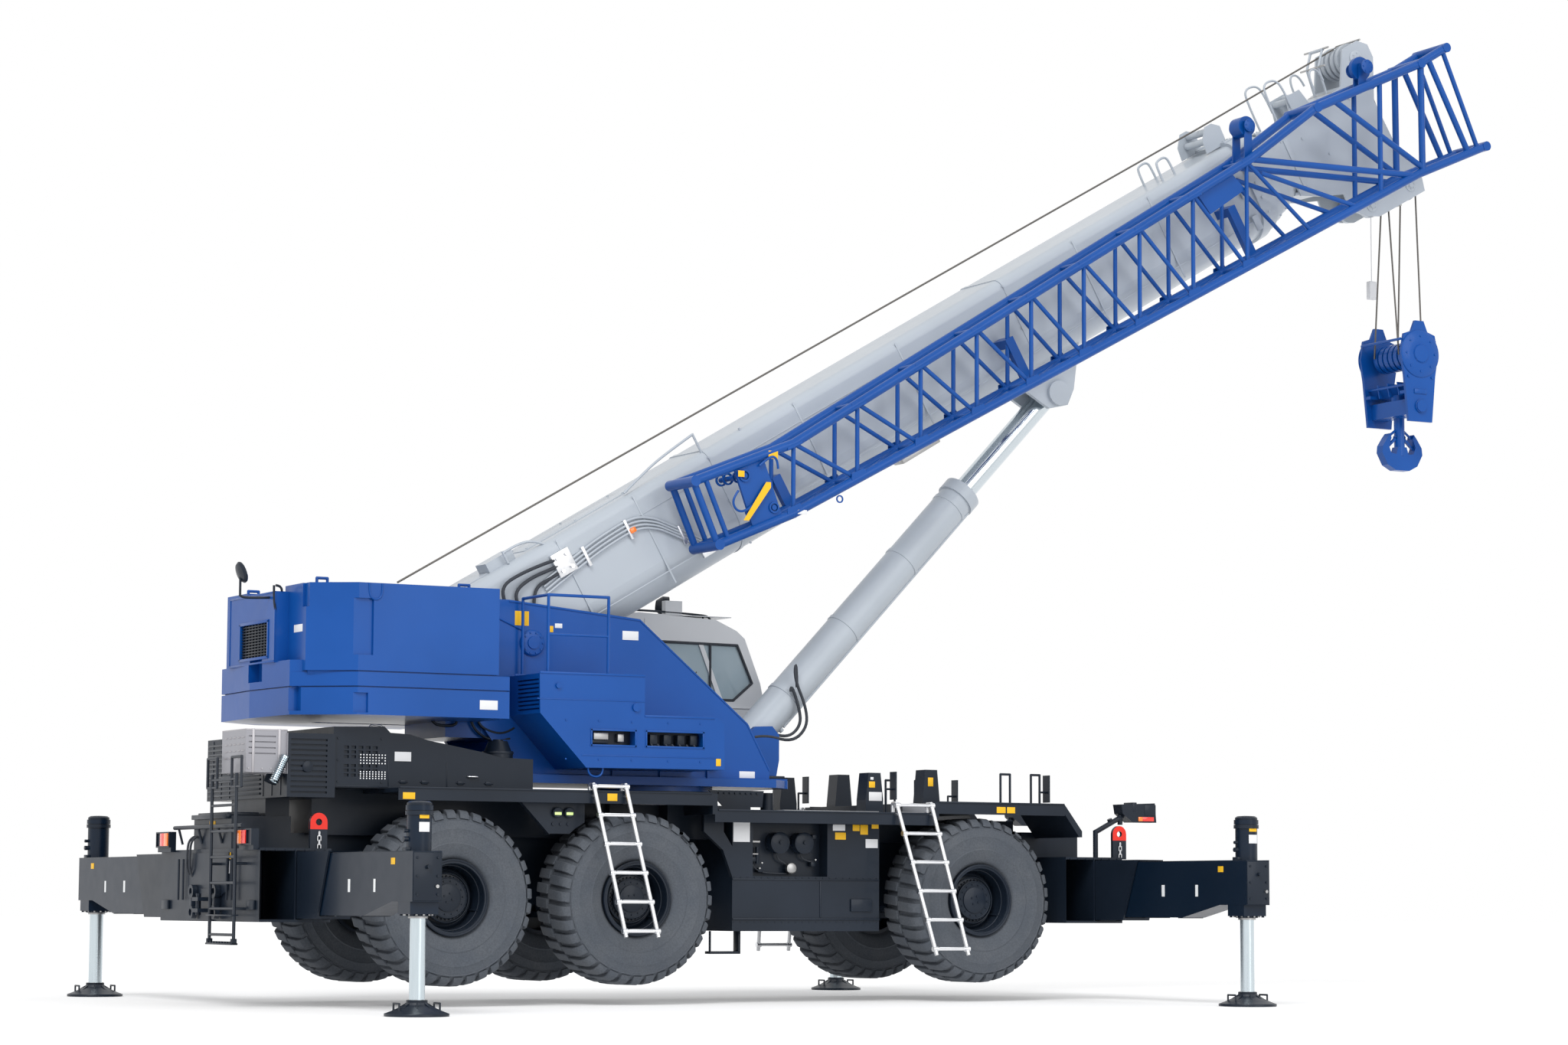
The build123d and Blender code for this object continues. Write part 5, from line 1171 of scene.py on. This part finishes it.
sections = (1, 2, 3, 4, 5)
for n in sections:
    half, low, top = 0.47 - 0.03 * n, -0.4 + 0.035 * n, 0.87 - 0.035 * n
    s = 11.85 + 0.144 * n
    lugs = Shape(BOOM)
    for y in (-0.16, 0.16):
        lugs.block((s - 0.11, s - 0.02), (y - 0.045, y + 0.045), (top + 0.02, top + 0.062), 0.005)
        lugs.bolts((s - 0.065, y, top + 0.062), (0, 0, 1), 0.022, 2, 0.008, 0.01)
    for side in (-1, 1):
        for t in (low + 0.14, 0.235, top - 0.14):
            lugs.stud((s - 0.055, side * (half + 0.03), t), (0, side, 0), 0.013, 0.012)
    lugs.done(f"section_pads_{n}", "boom_paint", f"boom_section_{n}")

boom_rails = (
    ((3.07, -0.4, 0.77), (3.07, -0.4, 1.00), (3.07, -0.4, 1.1)),
    ((3.07, -0.4, 1.09), (2.62, -0.4, 1.05), (2.3, -0.4, 0.99), (1.95, -0.4, 0.9)),
    ((3.65, -0.4, 0.68), (3.65, -0.4, 0.8), (3.65, -0.4, 0.89)),
    ((0.28, -0.4, 0.87), (0.28, -0.4, 0.96), (0.28, -0.4, 1.02)),
    ((0.28, -0.4, 1.00), (0.5, -0.4, 1.01), (0.7, -0.4, 0.94), (0.79, -0.4, 0.84)),
    ((10.71, -0.2, 0.87), (10.71, -0.2, 1.08), (10.76, -0.2, 1.12), (10.9, -0.2, 1.12), (10.92, -0.2, 1.00),
     (10.92, -0.2, 0.87)),
    ((10.71, 0.2, 0.87), (10.71, 0.2, 1.08), (10.76, 0.2, 1.12), (10.9, 0.2, 1.12), (10.92, 0.2, 1.00),
     (10.92, 0.2, 0.87)),
)
pipes("boom_rails", boom_rails, 0.015, "boom_paint", "boom_base", BOOM)
side_pipes = []
for i in range(4):
    d = 0.045 * i
    side_pipes.append(((0.5, -0.489, 0.5 - d), (1.13, -0.489, 0.6 - d), (1.6, -0.489, 0.63 - d),
                       (1.89, -0.489, 0.62 - d), (2.1, -0.489, 0.5 - d), (2.21, -0.489, 0.38 - d),
                       (2.42, -0.489, 0.14 - d), (2.55, -0.489, -0.01 - d)))
pipes("boom_side_pipes", side_pipes, 0.014, "boom_paint", "boom_base", BOOM)
clamps = Shape(BOOM)
for s, t in ((1.13, 0.55), (1.75, 0.57), (2.33, 0.2)):
    clamps.block((s - 0.02, s + 0.02), (-0.512, -0.468), (t - 0.16, t + 0.08), 0.004)
clamps.block((0.72, 0.97), (-0.52, -0.468), (0.44, 0.72), 0.01)
for s in (0.78, 0.91):
    for t in (0.5, 0.66):
        clamps.rod((s, -0.52, t), (s, -0.545, t), 0.026, 6)
clamps.block((2.45, 2.62), (-0.51, -0.468), (-0.2, -0.1), 0.008)
clamps.done("boom_pipe_clamps", "zinc", "boom_base")
foot_pipes = (
    ((0.75, -0.5, 0.65), (0.7, -0.53, 0.67), (0.31, -0.532, 0.72), (0.02, -0.532, 0.71), (-0.04, -0.532, 0.5),
     (-0.15, -0.532, 0.18), (-0.25, -0.51, 0.1)),
    ((0.76, -0.5, 0.58), (0.7, -0.51, 0.58), (0.4, -0.515, 0.62), (0.14, -0.515, 0.58), (0.1, -0.515, 0.4),
     (0.02, -0.51, 0.2)),
    ((0.76, -0.5, 0.5), (0.6, -0.5, 0.5), (0.42, -0.5, 0.5), (0.3, -0.5, 0.38), (0.24, -0.5, 0.24)),
)
pipes("boom_foot_pipes", foot_pipes, 0.02, "rubber_hose", "boom_base", BOOM)

marker = Shape(BOOM)
marker.block((1.75, 1.83), (-0.53, -0.47), (0.47, 0.53), 0.012)
marker.done("boom_side_lamp", "lamp_orange", "boom_base")
wheels_top = Shape(BOOM)
for s, t in ((11.6, 1.02), (11.68, 1.12)):
    wheels_top.rod((s, -0.24, t), (s, 0.24, t), 0.045, 20)
for y in (-0.26, 0.26):
    wheels_top.plate([(11.45, y, 0.89), (11.8, y, 0.89), (11.81, y, 1.12), (11.7, y, 1.2), (11.59, y, 1.2),
                      (11.47, y, 1.06)], (0, -0.014 if y < 0 else 0.014, 0))
wheels_top.done("rope_roller_frame", "boom_paint", "boom_base")

# ---------------------------------------------------------------- boom head

head = Shape(BOOM)
for y in (-0.287, 0.287):
    side = 1 if y > 0 else -1
    for s, t, r in ((14.23, 1.0, 0.1), (13.47, -0.76, 0.08), (14.18, -0.8, 0.075)):
        head.lathe((s, y, t), (0, side, 0), [(r, -0.004), (r, 0.012), (r * 0.8, 0.02), (r * 0.5, 0.02),
                                             (r * 0.46, 0.034), (0.0, 0.034)], 28)
        head.bolts((s, y + side * 0.018, t), (0, side, 0), r * 0.66, 6, 0.008, 0.01)
    for s, t in ((12.9, 0.45), (13.2, 0.1), (13.5, -0.3), (13.85, 0.6), (13.3, 0.75)):
        head.stud((s, y, t), (0, side, 0), 0.016, 0.012)
    head.block((12.6, 12.68), (side * 0.25, side * 0.3), (-0.1, 0.55), 0.006)
head.done("head_trim", "boom_paint", "boom_section_5")
loops = (
    ((12.72, 0, 0.72), (12.72, 0, 1.16), (12.77, 0, 1.3), (12.97, 0, 1.27), (13.02, 0, 1.11), (13.02, 0, 0.85)),
    ((13.47, 0, 0.9), (13.47, 0, 1.15), (13.66, 0, 1.14), (13.67, 0, 0.95)),
)
both = []
for loop in loops:
    for y in (-0.2, 0.2):
        both.append(tuple((s, y, t) for s, _, t in loop))
pipes("head_loops", both, 0.014, "boom_paint", "boom_section_5", BOOM)
guards = Shape(BOOM)
for s, t in ((13.69, 0.76), (13.75, 1.12), (13.93, 1.3), (14.45, 1.18), (14.46, 0.86)):
    guards.rod((s, -0.25, t), (s, 0.25, t), 0.013, 10)
for s, t in ((13.97, -0.97), (14.02, -0.6), (14.36, -0.94)):
    guards.rod((s, -0.22, t), (s, 0.22, t), 0.012, 10)
guards.done("head_guards", "steel", "boom_section_5")

# the main rope, taut from the winch over the head's upper sheave and down to the fork

lead = Shape(BOOM)
lead.rod((-0.86, -0.05, 1.255), (11.62, -0.05, 1.195), 0.0115, 10)
lead.done("lead_rope", "wire_rope", "boom_base")
over = Shape(BOOM)
over.rod((11.62, -0.05, 1.195), (14.15, -0.05, 1.212), 0.0115, 10)
points = []
for i in range(11):
    a = math.radians(104 - 12.4 * i)
    points.append((14.23 + 0.214 * math.cos(a), -0.05, 1.0 + 0.214 * math.sin(a)))
for p, q in zip(points, points[1:]):
    over.rod(p, q, 0.0115, 10)
    over.ball(q, 0.0115, 10)
over.rod(points[-1], (14.356, -0.05, -0.83), 0.0115, 10)
over.done("head_rope", "wire_rope", "boom_section_5")

# ---------------------------------------------------------------- folded jib

jib = Shape()


def chord_top(x):
    return 3.7 + 0.612 * x


def chord_low(x):
    return 3.24 + 0.532 * x


for y, out in ((-1.24, -1), (-0.72, 1)):
    for x in (4.26, 5.1, 5.95, 6.72, 7.48, 8.23, 9.04, 9.83, 10.64):
        for z in (chord_top(x) - 0.03, chord_low(x) + 0.03):
            jib.plate([(x - 0.1, y + out * 0.045, z - 0.06), (x + 0.1, y + out * 0.045, z + 0.04),
                       (x + 0.06, y + out * 0.045, z + 0.09), (x - 0.1, y + out * 0.045, z + 0.02)],
                      (0, out * 0.008, 0))
for x, z, r in ((12.61, 11.65, 0.09), (10.77, 10.7, 0.08)):
    for y, out in ((-1.13, -1), (-0.83, 1)):
        jib.lathe((x, y, z), (0, out, 0), [(r, 0.0), (r, 0.014), (r * 0.6, 0.022), (0.0, 0.022)], 28)
        jib.bolts((x, y + out * 0.014, z), (0, out, 0), r * 0.75, 6, 0.009, 0.012)
for y in (-1.26, -1.1, -0.86, -0.7):
    jib.lathe((3.62, y, 5.9), (0, 1, 0), [(0.05, -0.012), (0.07, -0.012), (0.07, 0.012), (0.05, 0.012)], 24)
    jib.lathe((4.00, y, 5.56), (0, 1, 0), [(0.045, -0.012), (0.064, -0.012), (0.064, 0.012), (0.045, 0.012)], 24)
jib.rod((3.62, -1.27, 5.9), (3.62, -0.69, 5.9), 0.03, 14)
jib.rod((4.00, -1.27, 5.56), (4.00, -0.69, 5.56), 0.03, 14)
jib.lathe((4.86, -1.252, 5.705), (0, -1, 0), [(0.046, 0.0), (0.046, 0.01), (0.03, 0.01), (0.03, 0.0)], 24)
jib.done("jib_fittings", "blue_paint", "boom_base")
links_jib = (
    ((3.52, -1.3, 5.72), (3.44, -1.3, 5.62), (3.48, -1.3, 5.5), (3.6, -1.3, 5.48), (3.7, -1.28, 5.56)),
    ((3.8, -1.28, 6.02), (3.92, -1.3, 6.14), (4.02, -1.3, 6.12), (4.04, -1.28, 6.00)),
)
pipes("jib_handles", links_jib, 0.014, "blue_paint", "boom_base")
boards("jib_yellow_boards", "yellow_board", "boom_base", (
    ("-y", -1.29, (3.52, 3.6), (5.88, 5.95)), ("-y", -1.29, (3.91, 4.03), (6.11, 6.2)),
))
strip = Shape().plate([(3.59, -1.292, 5.39), (3.66, -1.292, 5.39), (3.94, -1.292, 5.78), (3.94, -1.292, 5.84),
                       (3.88, -1.292, 5.84)], (0, -0.004, 0))
strip.done("jib_yellow_strip", "yellow_board", "boom_base")
boards("jib_white_boards", "white_board", "boom_base", (("-y", -1.29, (4.29, 4.41), (5.5, 5.55)),))

# ---------------------------------------------------------------- lift cylinder

lift = Shape()
foot_at = Vector((4.26, 0, 2.88))
eye = CARRIER.inverted() @ BOOM @ Vector((7.91, 0.0, -0.735))
line = (eye - foot_at).normalized()
cross = Vector((-line.z, 0, line.x))


def on_barrel(along, across, y):
    return foot_at + line * along + cross * across + Vector((0, y, 0))


for y in (-0.11, 0.11):
    lift.rod(on_barrel(0.55, -0.19, y), on_barrel(4.2, -0.19, y), 0.016, 10)
for along in (0.85, 2.0, 3.15, 4.1):
    lift.lathe(on_barrel(along, 0, 0), line, [(0.2155, -0.028), (0.224, -0.024), (0.224, 0.024), (0.2155, 0.028)], 40)
lift.lathe(on_barrel(4.39, 0, 0), line, [(0.15, 0.0), (0.232, -0.006), (0.24, -0.02), (0.24, -0.1)], 40)
lift.bolts(on_barrel(4.392, 0, 0), line, 0.19, 12, 0.014, 0.016)
lift.rod(on_barrel(0.5, -0.17, -0.11), on_barrel(0.5, -0.21, -0.11), 0.03, 10)
lift.rod(on_barrel(0.5, -0.17, 0.11), on_barrel(0.5, -0.21, 0.11), 0.03, 10)
lift.done("lift_barrel_trim", "boom_paint", "lift_barrel")
cylinder_pipes = (
    ((4.86, -0.28, 3.6), (4.84, -0.3, 3.94), (4.81, -0.3, 3.71), (4.97, -0.3, 3.38), (4.99, -0.3, 3.14),
     (4.79, -0.3, 2.96), (4.44, -0.3, 3.04), (4.29, -0.3, 3.01)),
    ((4.79, -0.26, 3.55), (4.78, -0.27, 3.66), (4.9, -0.27, 3.36), (4.92, -0.27, 3.16), (4.75, -0.27, 3.01),
     (4.46, -0.27, 3.08), (4.33, -0.27, 3.05)),
)
pipes("lift_pipes", cylinder_pipes, 0.018, "rubber_hose", "lift_barrel")

# ---------------------------------------------------------------- hook

HOOK_X, BLOCK_Z = 13.958, 8.18
block = Shape()
for y in (-0.437, 0.437):
    side = 1 if y > 0 else -1
    block.lathe((HOOK_X, y, BLOCK_Z), (0, side, 0), [(0.3, -0.006), (0.306, 0.006), (0.292, 0.016), (0.15, 0.022),
                                                     (0.12, 0.022), (0.11, 0.04), (0.0, 0.044)], 48)
    block.bolts((HOOK_X, y + side * 0.012, 8.18), (0, side, 0), 0.23, 8, 0.012, 0.016)
    block.lathe((HOOK_X, y, 7.5), (0, side, 0), [(0.085, 0.0), (0.085, 0.014), (0.06, 0.022), (0.0, 0.022)], 28)
    block.block((HOOK_X - 0.1, HOOK_X + 0.1), (y, y + side * 0.01), (7.66, 7.72), 0.004)
    for dx in (-0.19, 0.19):
        block.stud((HOOK_X + dx, y, 7.88), (0, side, 0), 0.016, 0.012)
for dx, z in ((-0.28, 8.36), (0.28, 8.36), (-0.17, 7.78), (0.17, 7.78)):
    block.rod((HOOK_X + dx, -0.4, z), (HOOK_X + dx, 0.4, z), 0.018, 12)
for y in (-0.2, 0.0, 0.2):
    block.plate([(HOOK_X - 0.19, y - 0.006, 7.83), (HOOK_X + 0.19, y - 0.006, 7.83), (HOOK_X + 0.16, y - 0.006, 7.66),
                 (HOOK_X - 0.16, y - 0.006, 7.66)], (0, 0.012, 0))
block.done("hook_block_trim", "blue_paint", "hook_block")
hook_parts = Shape()
hook_parts.lathe((HOOK_X, 0, 7.44), (0, 0, -1), [(0.078, 0.0), (0.086, 0.01), (0.086, 0.045), (0.07, 0.055)], 28)
hook_parts.stud((HOOK_X, 0, 7.36), (0, 0, -1), 0.05, 0.03)
for side in (-1, 1):
    hook_parts.plate([(HOOK_X + side * 0.055, -0.016, 7.16), (HOOK_X + side * 0.245, -0.016, 6.98),
                      (HOOK_X + side * 0.235, -0.016, 6.955), (HOOK_X + side * 0.045, -0.016, 7.12)], (0, 0.032, 0))
    hook_parts.lathe((HOOK_X + side * 0.055, 0, 7.14), (0, 1, 0), [(0.022, -0.035), (0.022, 0.035)], 14)
hook_parts.done("hook_latches", "blue_paint", "hook")

bob = Shape()
bob.block((13.9, 14.02), (0.495, 0.575), (9.02, 9.26), 0.012)
bob.rod((13.96, 0.535, 9.24), (13.96, 0.535, 10.37), 0.006, 8)
bob.rod((13.96, 0.25, 10.37), (13.96, 0.545, 10.37), 0.01, 8)
bob.done("limit_weight", "white_board", "rope_falls")
# ---------------------------------------------------------------- camera, light, floor

CAMERA_AT = Vector((-22.344, -37.718, 1.108))
YAW, PITCH, ROLL = (math.radians(a) for a in (29.246, 5.86, 0.235))
LENS = 85.236


def make_camera():
    forward = Vector((math.sin(YAW) * math.cos(PITCH), math.cos(YAW) * math.cos(PITCH), math.sin(PITCH)))
    right = Vector((math.cos(YAW), -math.sin(YAW), 0.0))
    up = right.cross(forward)
    level, rise = right * math.cos(ROLL) + up * math.sin(ROLL), up * math.cos(ROLL) - right * math.sin(ROLL)
    data = bpy.data.cameras.new("camera")
    data.lens = LENS
    data.sensor_width = 36.0
    data.clip_end = 500.0
    camera = bpy.data.objects.new("camera", data)
    turn = Matrix((level, rise, -forward)).transposed().to_4x4()
    camera.matrix_world = Matrix.Translation(CAMERA_AT) @ turn
    bpy.context.scene.collection.objects.link(camera)
    bpy.context.scene.camera = camera


def make_sun(name, towards, strength, angle):
    data = bpy.data.lights.new(name, "SUN")
    data.energy = strength
    data.angle = math.radians(angle)
    sun = bpy.data.objects.new(name, data)
    sun.rotation_euler = Vector(towards).to_track_quat("-Z", "Y").to_euler()
    bpy.context.scene.collection.objects.link(sun)


def background(g, seen, lit):
    """A strength for what the camera, gloss and glass see, and another for what lights the object."""
    ray = [g.add("LightPath", out=f"Is {kind} Ray") for kind in ("Camera", "Glossy", "Transmission")]
    direct = (ray[0] + ray[1] + ray[2]).clamped()
    return direct * (seen - lit) + lit


def make_world():
    world = bpy.data.worlds.new("studio")
    g = Graph("studio", world)
    light = g.add("Background", {}, {"Color": (1.0, 1.0, 1.0, 1.0), "Strength": background(g, 1.0, 0.58)})
    g.add("OutputWorld", {}, {"Surface": light}, None)
    bpy.context.scene.world = world


def make_floor():
    bm = bmesh.new()
    bmesh.ops.create_circle(bm, cap_ends=True, segments=96, radius=220.0)
    mesh = bpy.data.meshes.new("floor")
    bm.to_mesh(mesh)
    bm.free()
    floor = bpy.data.objects.new("floor", mesh)
    g = Graph("floor_finish")
    grain = g.noise(1.5, 2.0) * 0.01
    floor.data.materials.append(g.finish(g.shade(Base_Color=g.mix((0.9,) * 3, (0.93,) * 3, grain), Roughness=0.95,
                                                 Specular_IOR_Level=0.0, Emission_Color=(1.0, 1.0, 1.0),
                                                 Emission_Strength=0.24)))
    bpy.context.scene.collection.objects.link(floor)


make_camera()
make_world()
make_sun("key", (0.55, 0.62, -0.75), 1.45, 25.0)
make_sun("fill", (-0.2, 0.9, -0.35), 0.7, 40.0)
make_floor()
bpy.context.scene.view_settings.view_transform = "Standard"
